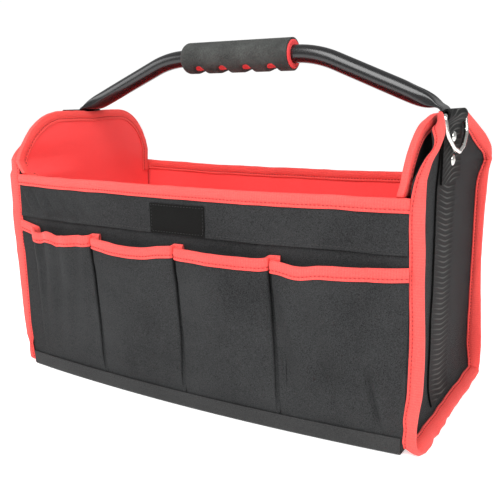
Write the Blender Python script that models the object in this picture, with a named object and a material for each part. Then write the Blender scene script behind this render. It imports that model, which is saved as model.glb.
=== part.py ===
"""An open-top tool bag: stiffened cloth walls with pockets, a double end at each side, a base tray,
a steel tube handle with a foam grip, and a ring hung in a webbing fold at each end.
Front is -Y, the ends are at -X and +X, and the bag stands on Z = 0. Metres and degrees."""

import math

import bmesh
import bpy
from mathutils import Matrix, Vector

# Cloth, board and tape
SEAT_GAP = 0.0003
CLOTH = 0.0008
BOARD = 0.0015
LINING = 0.0006
TAPE = 0.0006
TAPE_WIDTH = 0.0105

# Long walls, bowed outward between the end seams
HALF_LENGTH = 0.200
HALF_DEPTH = 0.0957
WALL_BOW = 0.0105
WALL_HEIGHT = 0.1975
SEAM_TURN = 0.001
BOARD_SPARE = 0.003
WALL_END = HALF_LENGTH - SEAM_TURN
BOARD_END = HALF_LENGTH - BOARD_SPARE
SEAM_DROP = 0.0405
SEAM_HEIGHT = WALL_HEIGHT - SEAM_DROP
FIN_REACH = 0.0116
HALF_CELLS = 6

# Base tray
BASE_CLOTH = 0.0012
BASE_BOARD = 0.003
BAND_HEIGHT = 0.0145
BASE_ROUND = 0.0016
FLAP_CLOTH = 0.0008
FLAP_RUN = 0.012
FLAP_RISE_RUN = 0.0062
FLAP_ROOT = HALF_LENGTH - FLAP_RUN
FLAP_RISE_START = HALF_LENGTH - FLAP_RISE_RUN
FLAP_BEND = 0.001
FLAP_TIP_SHARE = 0.97

# Pockets on the long walls
POCKET_SPARE = 0.014
PLEAT_PITCH = (HALF_LENGTH - POCKET_SPARE) / 2
PLEAT_SHIFT = 0.003
PLEAT_GAP = 0.0006
POCKET_DROP = 0.009
POCKET_TOP = SEAM_HEIGHT - POCKET_DROP
POCKET_DIP = 0.002
POCKET_END_RISE = 0.004
POCKET_FOLD_SPACE = 0.0005
POCKET_HEM = 0.011
POCKET_TOE_RISE = 0.0055
POCKET_FOLD = BAND_HEIGHT + POCKET_FOLD_SPACE
POCKET_FOOT = POCKET_FOLD - POCKET_HEM
POCKET_TOE = POCKET_FOLD + POCKET_TOE_RISE
POCKET_DEPTH = 0.010
POCKET_TOE_DEPTH = 0.0025
POCKET_NECK_DROP = 0.014
POCKET_NECK = POCKET_TOP - POCKET_NECK_DROP
POCKET_WAIST_DROP = 0.028
POCKET_WAIST = POCKET_TOP - POCKET_WAIST_DROP
FLANGE = 0.004
PLEAT_RISE = 0.008

# Label patch
LABEL_LENGTH = 0.057
LABEL_SPACE = 0.0145
LABEL_HEIGHT = SEAM_DROP - LABEL_SPACE
LABEL_SHIFT = 0.002

# End webbing
WEB_WIDTH = 0.054
WEB_THICKNESS = 0.0014

# Outer end panels
END_CLOTH = 0.0012
END_FACE = HALF_LENGTH - SEAM_TURN
END_DISH = 0.001
END_FLAT_SPARE = 0.003
END_FLAT = WEB_WIDTH / 2 + END_FLAT_SPARE
END_HALF_WIDTH = HALF_DEPTH - CLOTH - SEAT_GAP - END_CLOTH
END_SHOULDER_RISE = 0.0145
END_RISE = 0.0605
END_SHOULDER = WALL_HEIGHT + END_SHOULDER_RISE
END_TOP = WALL_HEIGHT + END_RISE
CROWN_SPARE = 0.0015
CROWN_HALF_WIDTH = WEB_WIDTH / 2 + CROWN_SPARE
SLOPE_POWER = 1.6
SLOPE_BUMP = 0.0055
SLOPE_SHARES = (0.98, 0.95, 0.915, 0.875, 0.83, 0.78, 0.72, 0.65, 0.57, 0.49, 0.42, 0.372)
CALM_SHARE = 0.37
FIN_LEAN_ANGLE = 10.0
FIN_TURN_ANGLE = 80.0
CENTRE_DROP = 0.0125
CENTRE_TOP = END_TOP - CENTRE_DROP
STRAP_EDGE_SPARE = 0.0025
STRAP_EDGE = WEB_WIDTH / 2 + STRAP_EDGE_SPARE
STRAP_EDGE_SHARE = 0.82
CROWN_SHARES = (1.088, 1.0, 0.77, 0.42, 0.0)
FLARE = 0.0047
FOLD_HEIGHT = 0.0105
FLARE_RISE = 0.0245
FLARE_HEIGHT = FOLD_HEIGHT + FLARE_RISE
FOLD_ANGLE = 49.6
FIN_FOOT_RISE = 0.0115
FIN_FOOT = FOLD_HEIGHT + FIN_FOOT_RISE
LOW_RISE = 0.0045
LOW_DRAW = 0.0019
CORNER_DRAW = 0.0074
LOW_HEIGHTS = (FOLD_HEIGHT + LOW_RISE, FIN_FOOT)
LOW_WIDTHS = (END_HALF_WIDTH - LOW_DRAW, END_HALF_WIDTH)
CORNER_WIDTH = END_HALF_WIDTH - CORNER_DRAW
FLAP_SPARE = 0.003
FLAP_HALF_WIDTH = CORNER_WIDTH - FLAP_SPARE
MID_HEIGHT = 0.105
NECK_RISE = 0.0075
MID_HEIGHTS = (FLARE_HEIGHT, MID_HEIGHT, WALL_HEIGHT, WALL_HEIGHT + NECK_RISE, END_SHOULDER)
TAPE_INSET = 0.0005
FOLD_TAPE_INSET = 0.0035

# Inner end panels
LEG_THICKNESS = 0.003
SET_HEAD = 0.0008
INNER_PANEL_SPACE = 0.0012
INNER_DROP = 0.0014
INNER_SHOULDER_RISE = 0.0025
INNER_SLANT_RISE = 0.0135
INNER_TAPE_DROP = 0.0115
INNER_TOP = END_TOP - INNER_DROP
INNER_SHOULDER = WALL_HEIGHT + INNER_SHOULDER_RISE
INNER_SLANT_TOP = WALL_HEIGHT + INNER_SLANT_RISE
INNER_TAPE_FOOT = WALL_HEIGHT - INNER_TAPE_DROP
INNER_CORNER = 0.055
INNER_CORNER_SPARE = 0.0008
INNER_CORNER_Y = HALF_DEPTH + INNER_CORNER_SPARE - INNER_CORNER

# Handle tube, grip and rivets
TUBE_RADIUS = 0.008
GRIP_SHIFT = -0.001
GRIP_LENGTH = 0.118
GRIP_SPARE = 0.001
TUBE_FLAT_HALF = GRIP_LENGTH / 2 + GRIP_SPARE
TUBE_BEND = 0.100
TUBE_SLOPE_ANGLE = 22.5
HANDLE_SEAT = 0.0085
TUBE_RISE = (HALF_LENGTH - TUBE_FLAT_HALF) * math.tan(math.radians(TUBE_SLOPE_ANGLE))
TUBE_HEIGHT = END_TOP + TUBE_RISE - HANDLE_SEAT
LEG_BEND = 0.007
LEG_WIDTH = 0.0235
LEG_END = 0.0095
TAPER_RUN = 0.045
TAPER_SPARE = 0.010
TAPER_START = HALF_LENGTH - TAPER_RUN
TAPER_END = HALF_LENGTH - TAPER_SPARE
LINER_WALL = 0.0038
FOAM_WALL = 0.0028
LIP_STEP = 0.0004
NOTCH_LEFT = 0.0012
LINER_RADIUS = TUBE_RADIUS + LINER_WALL
GRIP_RADIUS = LINER_RADIUS + FOAM_WALL
GRIP_ROUND = 0.006
GRIP_LIP = 0.003
GRIP_LIP_RADIUS = GRIP_RADIUS - LIP_STEP
LIP_CHAMFER = 0.0015
NOTCH_RADIUS = 0.011
NOTCH_FLOOR = TUBE_RADIUS + NOTCH_LEFT
NOTCH_PITCH = 0.026
NOTCH_TILT_ANGLE = 25.0
RING_DROP = 0.0035
RIVET_DROP = 0.0175
RIVET_PITCH = 0.0187
RING_HEIGHT = END_TOP - RING_DROP
UPPER_RIVET = RING_HEIGHT - RIVET_DROP
LOWER_RIVET = UPPER_RIVET - RIVET_PITCH
RIVET_HEIGHTS = (UPPER_RIVET, LOWER_RIVET)
LEG_FOOT = LOWER_RIVET - LEG_END
RIVET_HEAD_RADIUS = 0.0047
RIVET_HEAD = 0.0018
RIVET_RADIUS = 0.002
SET_HEAD_RADIUS = 0.0034

# End strap and ring
WEB_BEND = 0.003
WEB_FOOT = LOW_HEIGHTS[0]
WEB_JOIN_DROP = 0.0072
WEB_TAIL_LENGTH = 0.0178
WEB_JOIN = RING_HEIGHT - WEB_JOIN_DROP
WEB_TAIL = LOWER_RIVET - WEB_TAIL_LENGTH
FOLD_PAST_ANGLE = 40.0
RING_WIRE = 0.002
RING_BAR_SPARE = 0.0042
RING_SIDE_LEAN = 0.0012
RING_HALF_WIDTH = WEB_WIDTH / 2 + RING_BAR_SPARE
RING_SIDE_TOE = RING_HALF_WIDTH - RING_SIDE_LEAN
RING_SHOULDER = 0.0115
RING_POINT = 0.02955
RING_CORNER = 0.0037
RING_POINT_ROUND = 0.006

WALL_STACK = CLOTH + BOARD + LINING + 2 * SEAT_GAP
FLOOR = BASE_CLOTH + SEAT_GAP
LEG_FACE = END_FACE - END_CLOTH - SEAT_GAP
LEG_CENTRE = LEG_FACE - LEG_THICKNESS / 2
INNER_FACE = LEG_FACE - LEG_THICKNESS - SEAT_GAP - SET_HEAD - INNER_PANEL_SPACE
INNER_BACK = INNER_FACE - WALL_STACK
FRONT_PLY = END_FACE + 2 * SEAT_GAP + 1.5 * WEB_THICKNESS
BAR_CENTRE = END_FACE + SEAT_GAP + WEB_THICKNESS / 2 + WEB_BEND
BINDING = SEAT_GAP + TAPE

LOOKS = {
    "cloth": ((0.035, 0.036, 0.038), 0.85, 0.0),
    "base": ((0.055, 0.055, 0.057), 0.75, 0.0),
    "board": ((0.30, 0.27, 0.22), 0.80, 0.0),
    "lining": ((0.78, 0.055, 0.06), 0.80, 0.0),
    "tape": ((0.80, 0.07, 0.065), 0.75, 0.0),
    "label": ((0.030, 0.030, 0.032), 0.90, 0.0),
    "webbing": ((0.045, 0.046, 0.048), 0.80, 0.0),
    "tube": ((0.020, 0.021, 0.022), 0.22, 0.0),
    "foam": ((0.065, 0.068, 0.066), 0.92, 0.0),
    "liner": ((0.80, 0.07, 0.075), 0.80, 0.0),
    "nickel": ((0.62, 0.62, 0.61), 0.25, 1.0),
}


def finish(name, mesh, look, smooth_angle=None, place=None):
    """Makes the named object of a finished mesh, with its own material."""
    bmesh.ops.recalc_face_normals(mesh, faces=mesh.faces[:])
    data = bpy.data.meshes.new(name)
    mesh.to_mesh(data)
    mesh.free()
    if smooth_angle is not None:
        data.shade_smooth()
        data.set_sharp_from_angle(angle=math.radians(smooth_angle))
    obj = bpy.data.objects.new(name, data)
    bpy.context.scene.collection.objects.link(obj)
    if place is not None:
        obj.location = place
    colour, roughness, metallic = LOOKS[look]
    material = bpy.data.materials.new(name + "_material")
    material.use_nodes = True
    shader = material.node_tree.nodes["Principled BSDF"]
    shader.inputs["Base Color"].default_value = (*colour, 1.0)
    shader.inputs["Roughness"].default_value = roughness
    shader.inputs["Metallic"].default_value = metallic
    data.materials.append(material)
    return obj


def boolean(obj, tool, operation):
    """Joins or cuts a hidden helper into an object."""
    tool.hide_render = True
    tool.display_type = "WIRE"
    modifier = obj.modifiers.new(operation.lower(), "BOOLEAN")
    modifier.operation = operation
    modifier.solver = "EXACT"
    modifier.object = tool


def sheet(name, look, columns, rows, outer, inner, keep=None, lean=None):
    """A closed sheet: a grid laid on its outer surface and extruded to its inner one.
    keep(i, j) tells which cells are there, and lean(i, j) which way each cell's diagonal runs."""
    mesh = bmesh.new()
    cells, bands = len(columns) - 1, len(rows) - 1
    bmesh.ops.create_grid(mesh, x_segments=cells, y_segments=bands, size=1.0)
    spots = {}
    for vert in mesh.verts:
        spots[vert] = (round((vert.co.x + 1.0) * cells / 2), round((vert.co.y + 1.0) * bands / 2))
    if keep is not None:
        gone = []
        for face in mesh.faces:
            i = min(spots[vert][0] for vert in face.verts)
            j = min(spots[vert][1] for vert in face.verts)
            if not keep(i, j):
                gone.append(face)
        bmesh.ops.delete(mesh, geom=gone, context="FACES")
    grown = bmesh.ops.extrude_face_region(mesh, geom=mesh.faces[:])["geom"]
    inside = {item for item in grown if isinstance(item, bmesh.types.BMVert)}
    spots = {}
    for vert in mesh.verts:
        i = round((vert.co.x + 1.0) * cells / 2)
        j = round((vert.co.y + 1.0) * bands / 2)
        spots[vert] = (i, j, vert in inside)
        vert.co = (inner if vert in inside else outer)(columns[i], rows[j])
    if lean is not None:
        for face in mesh.faces[:]:
            marks = [spots[vert] for vert in face.verts]
            if len({mark[2] for mark in marks}) > 1:
                continue
            i, j = min(mark[0] for mark in marks), min(mark[1] for mark in marks)
            rising = lean(i, j)
            ends = [
                vert for vert in face.verts
                if (spots[vert][0] == i) == ((spots[vert][1] == j) if rising else (spots[vert][1] != j))
            ]
            bmesh.utils.face_split(face, ends[0], ends[1])
    return finish(name, mesh, look)


def loft(name, look, rings, smooth_angle=None, cyclic=False, place=None, lean=None):
    """A closed body through rings of equal point count, capped at both ends unless cyclic.
    lean(r, p) picks the diagonal of the cell after ring r and point p, or None for a plain cell."""
    mesh = bmesh.new()
    rows = [[mesh.verts.new(point) for point in ring] for ring in rings]
    count = len(rings[0])
    pairs = list(zip(rows, rows[1:] + rows[:1])) if cyclic else list(zip(rows, rows[1:]))
    for r, (low, high) in enumerate(pairs):
        for p in range(count):
            q = (p + 1) % count
            rising = None if lean is None else lean(r, p)
            if rising is None:
                mesh.faces.new((low[p], low[q], high[q], high[p]))
            elif rising:
                mesh.faces.new((low[p], low[q], high[q]))
                mesh.faces.new((low[p], high[q], high[p]))
            else:
                mesh.faces.new((low[p], low[q], high[p]))
                mesh.faces.new((low[q], high[q], high[p]))
    if not cyclic:
        mesh.faces.new(rows[0])
        mesh.faces.new(rows[-1])
    return finish(name, mesh, look, smooth_angle, place)


def lathe(name, look, profile, height, steps, smooth_angle):
    """Turns a profile of (x, radius) points round the X axis at a height."""
    mesh = bmesh.new()
    verts = [mesh.verts.new((x, 0, height + radius)) for x, radius in profile]
    closed = min(radius for _, radius in profile) > 0
    pairs = list(zip(verts, verts[1:] + verts[:1])) if closed else list(zip(verts, verts[1:]))
    edges = [mesh.edges.new(pair) for pair in pairs]
    bmesh.ops.spin(
        mesh, geom=verts + edges, cent=(0, 0, height), axis=(1, 0, 0),
        angle=math.tau, steps=steps, use_duplicate=False,
    )
    bmesh.ops.remove_doubles(mesh, verts=mesh.verts[:], dist=SEAT_GAP / 100)
    return finish(name, mesh, look, smooth_angle)


def plate(name, look, outline, near, far):
    """A flat board across X between two distances, cut to an outline of (y, z) points."""
    mesh = bmesh.new()
    face = mesh.faces.new([mesh.verts.new((near, y, z)) for y, z in outline])
    grown = bmesh.ops.extrude_face_region(mesh, geom=[face])["geom"]
    moved = [item for item in grown if isinstance(item, bmesh.types.BMVert)]
    bmesh.ops.translate(mesh, verts=moved, vec=(far - near, 0, 0))
    return finish(name, mesh, look)


def rod(name, radius, start, end, steps):
    """A plain cylinder between two points, used as a cutter."""
    mesh = bmesh.new()
    line = end - start
    turn = line.to_track_quat("Z", "Y").to_matrix().to_4x4() @ Matrix.Rotation(math.pi / steps, 4, "Z")
    bmesh.ops.create_cone(
        mesh, cap_ends=True, segments=steps, radius1=radius, radius2=radius,
        depth=line.length, matrix=Matrix.Translation((start + end) / 2) @ turn,
    )
    return finish(name, mesh, "nickel")


def mitres(points, closed=False):
    """For each point of a flat line, the step that moves both its neighbours one unit to the left."""
    count = len(points)
    normals = []
    for (ax, ay), (bx, by) in zip(points, points[1:] + points[:1]):
        length = math.hypot(bx - ax, by - ay)
        normals.append((-(by - ay) / length, (bx - ax) / length))
    steps = []
    for index in range(count):
        before = normals[index - 1] if closed or index > 0 else normals[0]
        after = normals[index] if closed or index < count - 1 else normals[count - 2]
        even = 1.0 + before[0] * after[0] + before[1] * after[1]
        steps.append(((before[0] + after[0]) / even, (before[1] + after[1]) / even))
    return steps


def arc(centre, radius, start, end, steps):
    """Points of a circular arc, with its angles in degrees from the first axis."""
    angles = [math.radians(start + (end - start) * k / steps) for k in range(steps + 1)]
    return [(centre[0] + radius * math.cos(a), centre[1] + radius * math.sin(a)) for a in angles]


def rounded(corners, radii, steps):
    """A closed flat line whose corners are replaced by arcs."""
    line = []
    for index, (corner, radius) in enumerate(zip(corners, radii)):
        here = Vector(corner)
        back = (Vector(corners[index - 1]) - here).normalized()
        on = (Vector(corners[(index + 1) % len(corners)]) - here).normalized()
        half = back.angle(on) / 2
        centre = here + (back + on).normalized() * radius / math.sin(half)
        first = here + back * radius / math.tan(half) - centre
        last = here + on * radius / math.tan(half) - centre
        sweep = first.angle(last)
        for k in range(steps + 1):
            share = k / steps
            blend = first * math.sin((1.0 - share) * sweep) + last * math.sin(share * sweep)
            line.append(centre + blend / math.sin(sweep))
    return line


def wall_y(x):
    """Distance of a long wall's cloth from the middle of the bag."""
    share = min(abs(x) / HALF_LENGTH, 1.0)
    return HALF_DEPTH + WALL_BOW * (1.0 - share * share)


def wall_columns(reach):
    """Positions along X at which a wall is built, out to its own end."""
    step = HALF_LENGTH / HALF_CELLS
    return [-reach] + [step * k for k in range(1 - HALF_CELLS, HALF_CELLS)] + [reach]


def wall_sheet(name, look, side, columns, rows, inner, outer, keep=None):
    """A sheet that follows the bowed wall between two distances from the wall's cloth."""
    def surface(offset):
        return lambda x, z: Vector((x, side * (wall_y(x) + offset), z))
    return sheet(name, look, columns, rows, surface(outer), surface(inner), keep)


def tape_section(inner, outer, cap, foot):
    """The U of a binding tape as (across, along) pairs: two walls joined by a cap."""
    return (
        (inner - BINDING, foot), (inner - BINDING, cap + BINDING),
        (outer + BINDING, cap + BINDING), (outer + BINDING, foot),
        (outer + SEAT_GAP, foot), (outer + SEAT_GAP, cap + SEAT_GAP),
        (inner - SEAT_GAP, cap + SEAT_GAP), (inner - SEAT_GAP, foot),
    )


def build_wall(side, word):
    """The layers of one long wall from its outer cloth to its lining, and the tape along the top."""
    reach = HALF_LENGTH + FIN_REACH
    columns = [-reach] + wall_columns(WALL_END) + [reach]
    last = len(columns) - 2
    rows = [FLOOR, FIN_FOOT, WALL_HEIGHT]
    wall_sheet(word + "_panel", "cloth", side, columns, rows, -CLOTH, 0,
               lambda i, j: j > 0 or 0 < i < last)
    ends = wall_columns(WALL_END)
    boards = wall_columns(BOARD_END)
    wall_sheet(word + "_facing", "cloth", side, ends, [SEAM_HEIGHT, WALL_HEIGHT],
               SEAT_GAP, CLOTH + SEAT_GAP)
    near = -CLOTH - SEAT_GAP
    wall_sheet(word + "_stiffener", "board", side, boards, [FLOOR, WALL_HEIGHT], near - BOARD, near)
    near -= BOARD + SEAT_GAP
    wall_sheet(word + "_lining", "lining", side, boards, [FLOOR, WALL_HEIGHT], near - LINING, near)
    section = tape_section(-WALL_STACK, SEAT_GAP + CLOTH, WALL_HEIGHT, WALL_HEIGHT + BINDING - TAPE_WIDTH)
    rings = [[Vector((x, side * (wall_y(x) + across), z)) for across, z in section] for x in boards]
    loft(word + "_top_binding", "tape", rings)


def pocket_line(first, last, height):
    """One pocket's plan at a height, as (x, distance from the middle) points of its inner face."""
    shares = (0.0, 0.0, 0.5, 1.0, 1.0)
    span = last - first
    steps = (0, FLANGE, FLANGE + PLEAT_RISE / 2, FLANGE + PLEAT_RISE, span * 0.38)
    runs = list(steps) + [span - step for step in reversed(steps)]
    if height <= POCKET_FOLD:
        depth = 0.0
    else:
        climb = min((height - POCKET_TOE) / (POCKET_NECK - POCKET_TOE), 1.0)
        depth = POCKET_TOE_DEPTH + (POCKET_DEPTH - POCKET_TOE_DEPTH) * climb
    lift = SEAT_GAP if height <= POCKET_WAIST else 2 * SEAT_GAP + TAPE + SEAT_GAP / 3
    return [
        (first + run, wall_y(first + run) + lift + (depth - lift if depth else 0.0) * share)
        for run, share in zip(runs, shares + shares[::-1])
    ]


def build_pockets(side, word):
    """Four pleated pockets on one long wall, and the tape that runs along all their tops."""
    pleats = [PLEAT_SHIFT + PLEAT_PITCH * k for k in (-1, 0, 1)]
    starts = [-WALL_END] + [pleat + PLEAT_GAP / 2 for pleat in pleats]
    stops = [pleat - PLEAT_GAP / 2 for pleat in pleats] + [WALL_END]
    heights = [POCKET_FOOT, POCKET_FOLD, POCKET_TOE, POCKET_WAIST, POCKET_NECK, POCKET_TOP]
    line, tops = [], []
    for number, (first, last) in enumerate(zip(starts, stops)):
        plans = [pocket_line(first, last, height) for height in heights]
        steps = [mitres(plan) for plan in plans]
        count = len(plans[0])
        edge = [POCKET_TOP] * count
        for index in (0, 1, count - 2, count - 1):
            edge[index] = POCKET_TOP - POCKET_DIP
        if number == 0:
            edge[0] = POCKET_TOP + POCKET_END_RISE
        if number == len(starts) - 1:
            edge[count - 1] = POCKET_TOP + POCKET_END_RISE

        def surface(offset, plans=plans, steps=steps, edge=edge):
            def place(i, j):
                x, y = plans[j][i]
                across, out = steps[j][i]
                z = edge[i] if j == len(heights) - 1 else heights[j]
                return Vector((x + across * offset, side * (y + out * offset), z))
            return place

        sheet(f"{word}_pocket_{number + 1}", "cloth", range(count), range(len(heights)),
              surface(CLOTH), surface(0))
        line += plans[-1]
        tops += edge
    section = tape_section(0, CLOTH, 0, BINDING - TAPE_WIDTH)
    rings = []
    for (x, y), (across, out), top in zip(line, mitres(line), tops):
        rings.append([Vector((x + across * o, side * (y + out * o), top + z)) for o, z in section])
    loft(word + "_pocket_binding", "tape", rings)


def build_label():
    near = CLOTH + 2 * SEAT_GAP
    first = LABEL_SHIFT - LABEL_LENGTH / 2
    rows = [SEAM_HEIGHT, SEAM_HEIGHT + LABEL_HEIGHT]
    wall_sheet("label_patch", "label", -1, [first, 0, first + LABEL_LENGTH], rows, near, near + LINING)


def build_base():
    """The outer tray with a flap sewn into each end seam, and the board and lining that lie in it."""
    near = CLOTH + 2 * SEAT_GAP
    quarter = arc((BASE_ROUND, BASE_ROUND), BASE_ROUND, 180, 270, 2)
    outer_quarter = arc((BASE_ROUND, BASE_ROUND), BASE_ROUND + BASE_CLOTH, 180, 270, 2)

    def section(offset, points):
        def place(index, x):
            edge = wall_y(x) + near
            half = [(-edge, BAND_HEIGHT)] + [(-edge + y, BASE_CLOTH + z) for y, z in points]
            line = half + [(-y, z) for y, z in reversed(half)]
            y, z = line[index]
            y += math.copysign(offset, y) if index in (0, len(line) - 1) else 0
            return Vector((x, y, z))
        return place

    count = 2 * (len(quarter) + 1)
    tray = sheet("base_cover", "base", range(count), wall_columns(WALL_END),
                 section(BASE_CLOTH, outer_quarter), section(0, quarter))
    slope = math.radians(FOLD_ANGLE)
    out = (math.sin(slope), -math.cos(slope))
    down = (-math.cos(slope), -math.sin(slope))
    root = (fold_x(), FOLD_HEIGHT)
    depth = END_CLOTH + SEAT_GAP + FLAP_CLOTH / 2
    bend, tip = (
        tuple(r + o * along + d * depth for r, o, d in zip(root, out, down))
        for along in (FLAP_BEND, fold_reach() * FLAP_TIP_SHARE)
    )
    middle = BASE_CLOTH / 2
    line = [(FLAP_ROOT, middle), (FLAP_RISE_START, middle), bend, tip]
    steps = mitres(line)
    for end, word in ((-1, "left"), (1, "right")):
        def surface(offset, end=end):
            def place(index, y):
                (x, z), (across, up) = line[index], steps[index]
                return Vector((end * (x + across * offset), y, z + up * offset))
            return place
        flap = sheet(word + "_flap_tool", "base", range(len(line)), [-FLAP_HALF_WIDTH, FLAP_HALF_WIDTH],
                     surface(FLAP_CLOTH / 2), surface(-FLAP_CLOTH / 2))
        boolean(tray, flap, "UNION")
    reach = INNER_BACK - SEAT_GAP

    def floor_level(z):
        return lambda x, share: Vector((x, share * (wall_y(x) - WALL_STACK - SEAT_GAP), z))

    top = FLOOR + BASE_BOARD
    sheet("base_board", "board", wall_columns(reach), [-1, 0, 1], floor_level(top), floor_level(FLOOR))
    low = top + SEAT_GAP
    sheet("base_lining", "lining", wall_columns(reach), [-1, 0, 1],
          floor_level(low + LINING), floor_level(low))


def flare(z):
    """How far the foot of an end panel stands out, as a share."""
    return max((FLARE_HEIGHT - z) / (FLARE_HEIGHT - FOLD_HEIGHT), 0.0) ** 2


def fold_x():
    return END_FACE + FLARE


def fold_reach():
    """Width of the fold along an end panel's foot, from its crease to its free edge."""
    return (HALF_LENGTH + FIN_REACH - fold_x()) / math.sin(math.radians(FOLD_ANGLE))


def root_x(z):
    """Distance along X of the line where an end panel's fin starts."""
    return END_FACE + END_DISH + (FLARE - END_DISH) * flare(z)


def edge_station(root, out, turn, reach, stack, tape_inset=0.0):
    return {
        "root": root, "out": out, "turn": turn, "reach": reach,
        "stack": stack, "tape_inset": tape_inset,
    }


def end_stations():
    """Stations of the front half of an end panel's edge, from the crown down and along the fold.
    Each has the line where the fin starts, the way it stands out and the way its thickness runs."""
    stations = []
    along = Vector((1, 0, 0))
    for share in reversed(SLOPE_SHARES):
        y = share * END_HALF_WIDTH
        run = max(y - CROWN_HALF_WIDTH, 0.0) / (END_HALF_WIDTH - CROWN_HALF_WIDTH)
        rise = END_TOP - END_SHOULDER
        fall = rise * SLOPE_POWER * run ** (SLOPE_POWER - 1) / (END_HALF_WIDTH - CROWN_HALF_WIDTH)
        away = Vector((0, -fall, 1)).normalized()
        lean = min(max((share - CALM_SHARE) / 0.12, 0.0), 1.0) * FIN_LEAN_ANGLE
        angle = math.radians(lean + FIN_TURN_ANGLE * share ** 6)
        calm = max((share - CALM_SHARE) / (1.0 - CALM_SHARE), 0.0)
        x = END_FACE + END_DISH + SLOPE_BUMP * math.sin(math.pi * calm ** 0.8)
        out = away * math.cos(angle) + along * math.sin(angle)
        turn = away * math.sin(angle) - along * math.cos(angle)
        edge = Vector((x, -y, END_SHOULDER + rise * (1.0 - run ** SLOPE_POWER)))
        root = edge - away * (FIN_REACH * math.cos(angle))
        stations.append(edge_station(root, out, turn, FIN_REACH, END_CLOTH))
    fin_stack = END_CLOTH + SEAT_GAP + CLOTH
    side = Vector((0, -1, 0))
    for z in reversed(MID_HEIGHTS):
        root = Vector((root_x(z), -END_HALF_WIDTH, z))
        stack = fin_stack if z <= WALL_HEIGHT else END_CLOTH
        stations.append(edge_station(root, along, side, FIN_REACH, stack))
    bends = ((LOW_HEIGHTS[1], LOW_WIDTHS[1], 0.0, 0.0), (LOW_HEIGHTS[0], LOW_WIDTHS[0], 0.28, 0.2),
             (FOLD_HEIGHT, CORNER_WIDTH, 0.55, 0.45), (FOLD_HEIGHT, CORNER_WIDTH, 0.80, 0.75),
             (FOLD_HEIGHT, CORNER_WIDTH, 1.0, 1.0))
    for z, width, swing, share in bends:
        heading = math.radians(90 * swing)
        away = Vector((0, -math.cos(heading), -math.sin(heading)))
        angle = math.radians(90 + (FOLD_ANGLE - 90) * share)
        out = away * math.cos(angle) + along * math.sin(angle)
        turn = away * math.sin(angle) - along * math.cos(angle)
        root = Vector((fold_x() if z == FOLD_HEIGHT else root_x(z), -width, z))
        reach = (HALF_LENGTH + FIN_REACH - root.x) / out.x
        stations.append(edge_station(root, out, turn, reach, fin_stack, FOLD_TAPE_INSET * share))
    low = stations[-1]
    for y in (-(CORNER_WIDTH + STRAP_EDGE) / 2, -STRAP_EDGE, 0.0):
        root = Vector((fold_x(), y, FOLD_HEIGHT))
        stations.append({**low, "root": root})
    return stations


def end_half_rows(stations):
    """Outer-face points of the front half of an end panel, row by row from the fold's free edge,
    each row from the fin's edge to the middle, with the step from outer face to inner face."""
    inward = Vector((-1, 0, 0))
    slopes = len(SLOPE_SHARES)
    crown = stations[:slopes]
    fins = stations[slopes:slopes + len(MID_HEIGHTS)]
    foot, low, first, second, last, mid, strap, centre = stations[slopes + len(MID_HEIGHTS):]

    def tip(station):
        return station["root"] + station["out"] * station["reach"], station["turn"]

    def bent(station):
        turn = station["turn"]
        return station["root"], (turn + inward) / (1.0 + turn.dot(inward))

    def face(y, z, edge):
        across = max((abs(y) - END_FLAT) / (abs(edge.y) - END_FLAT), 0.0) if abs(y) > END_FLAT else 0.0
        base = END_FACE + FLARE * flare(z)
        return Vector((base + (edge.x - base) * min(across, 1.0) ** 2, y, z)), inward

    free = [tip(second), tip(last), tip(mid), tip(strap), tip(centre)]
    fold = [tip(first), bent(last), bent(mid), bent(strap), bent(centre)]
    rows = [free, fold]
    for index, station in enumerate([low, foot] + fins[::-1] + crown[::-1]):
        root = station["root"]
        level = root.z
        climbed = index - 1 - len(fins)
        if climbed > 0:
            level = END_SHOULDER + (CENTRE_TOP - END_SHOULDER) * climbed / slopes
        inner_y = -min(STRAP_EDGE, STRAP_EDGE_SHARE * abs(root.y))
        middle_y = (root.y + inner_y) / 2
        rows.append([
            tip(station), bent(station), face(middle_y, (root.z + level) / 2, root),
            face(inner_y, level, root), face(0.0, level, root),
        ])
    rows.append([face(-CROWN_HALF_WIDTH * share, END_TOP, crown[0]["root"]) for share in CROWN_SHARES])
    return rows


def build_outer_end(end, word):
    """The shaped outer end panel with its standing edge, and the tape folded over that edge."""
    stations = end_stations()
    half = end_half_rows(stations)
    wide = len(half[0])
    rows = []
    for row in half:
        mirrored = [(Vector((p.x, -p.y, p.z)), Vector((s.x, -s.y, s.z))) for p, s in reversed(row[:-1])]
        rows.append(row + mirrored)

    def surface(depth):
        def place(i, j):
            point, step = rows[j][i]
            spot = point + step * depth
            return Vector((end * spot.x, spot.y, spot.z))
        return place

    panel = sheet(word + "_outer_end_panel", "cloth", range(2 * wide - 1), range(len(rows)),
                  surface(0), surface(END_CLOTH),
                  lean=lambda i, j: (i < wide - 1) == (j < len(rows) - 2))
    for number, height in enumerate(RIVET_HEIGHTS):
        boolean(panel, rivet_hole(end, word, number, height, "panel"), "DIFFERENCE")

    every = stations + [
        {**s, "root": s["root"] * Vector((1, -1, 1)), "out": s["out"] * Vector((1, -1, 1)),
         "turn": s["turn"] * Vector((1, -1, 1))}
        for s in reversed(stations[:-1])
    ]
    rings = []
    for s in every:
        cap = s["reach"]
        section = [list(pair) for pair in tape_section(0, s["stack"], cap, TAPE_INSET)]
        for index in (3, 4):
            section[index][1] = s["tape_inset"]
        ring = [s["root"] + s["out"] * along + s["turn"] * across for across, along in section]
        rings.append([Vector((end * p.x, p.y, p.z)) for p in ring])
    half_count = len(stations) - 1
    roots_at = (0, 3, 4, 7)

    def lean(r, p):
        q = (p + 1) % len(rings[0])
        if (p in roots_at) == (q in roots_at):
            return None
        low_first = r >= half_count
        return (q in roots_at) if low_first else (p in roots_at)

    loft(word + "_outer_end_binding", "tape", rings, lean=lean)


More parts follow.
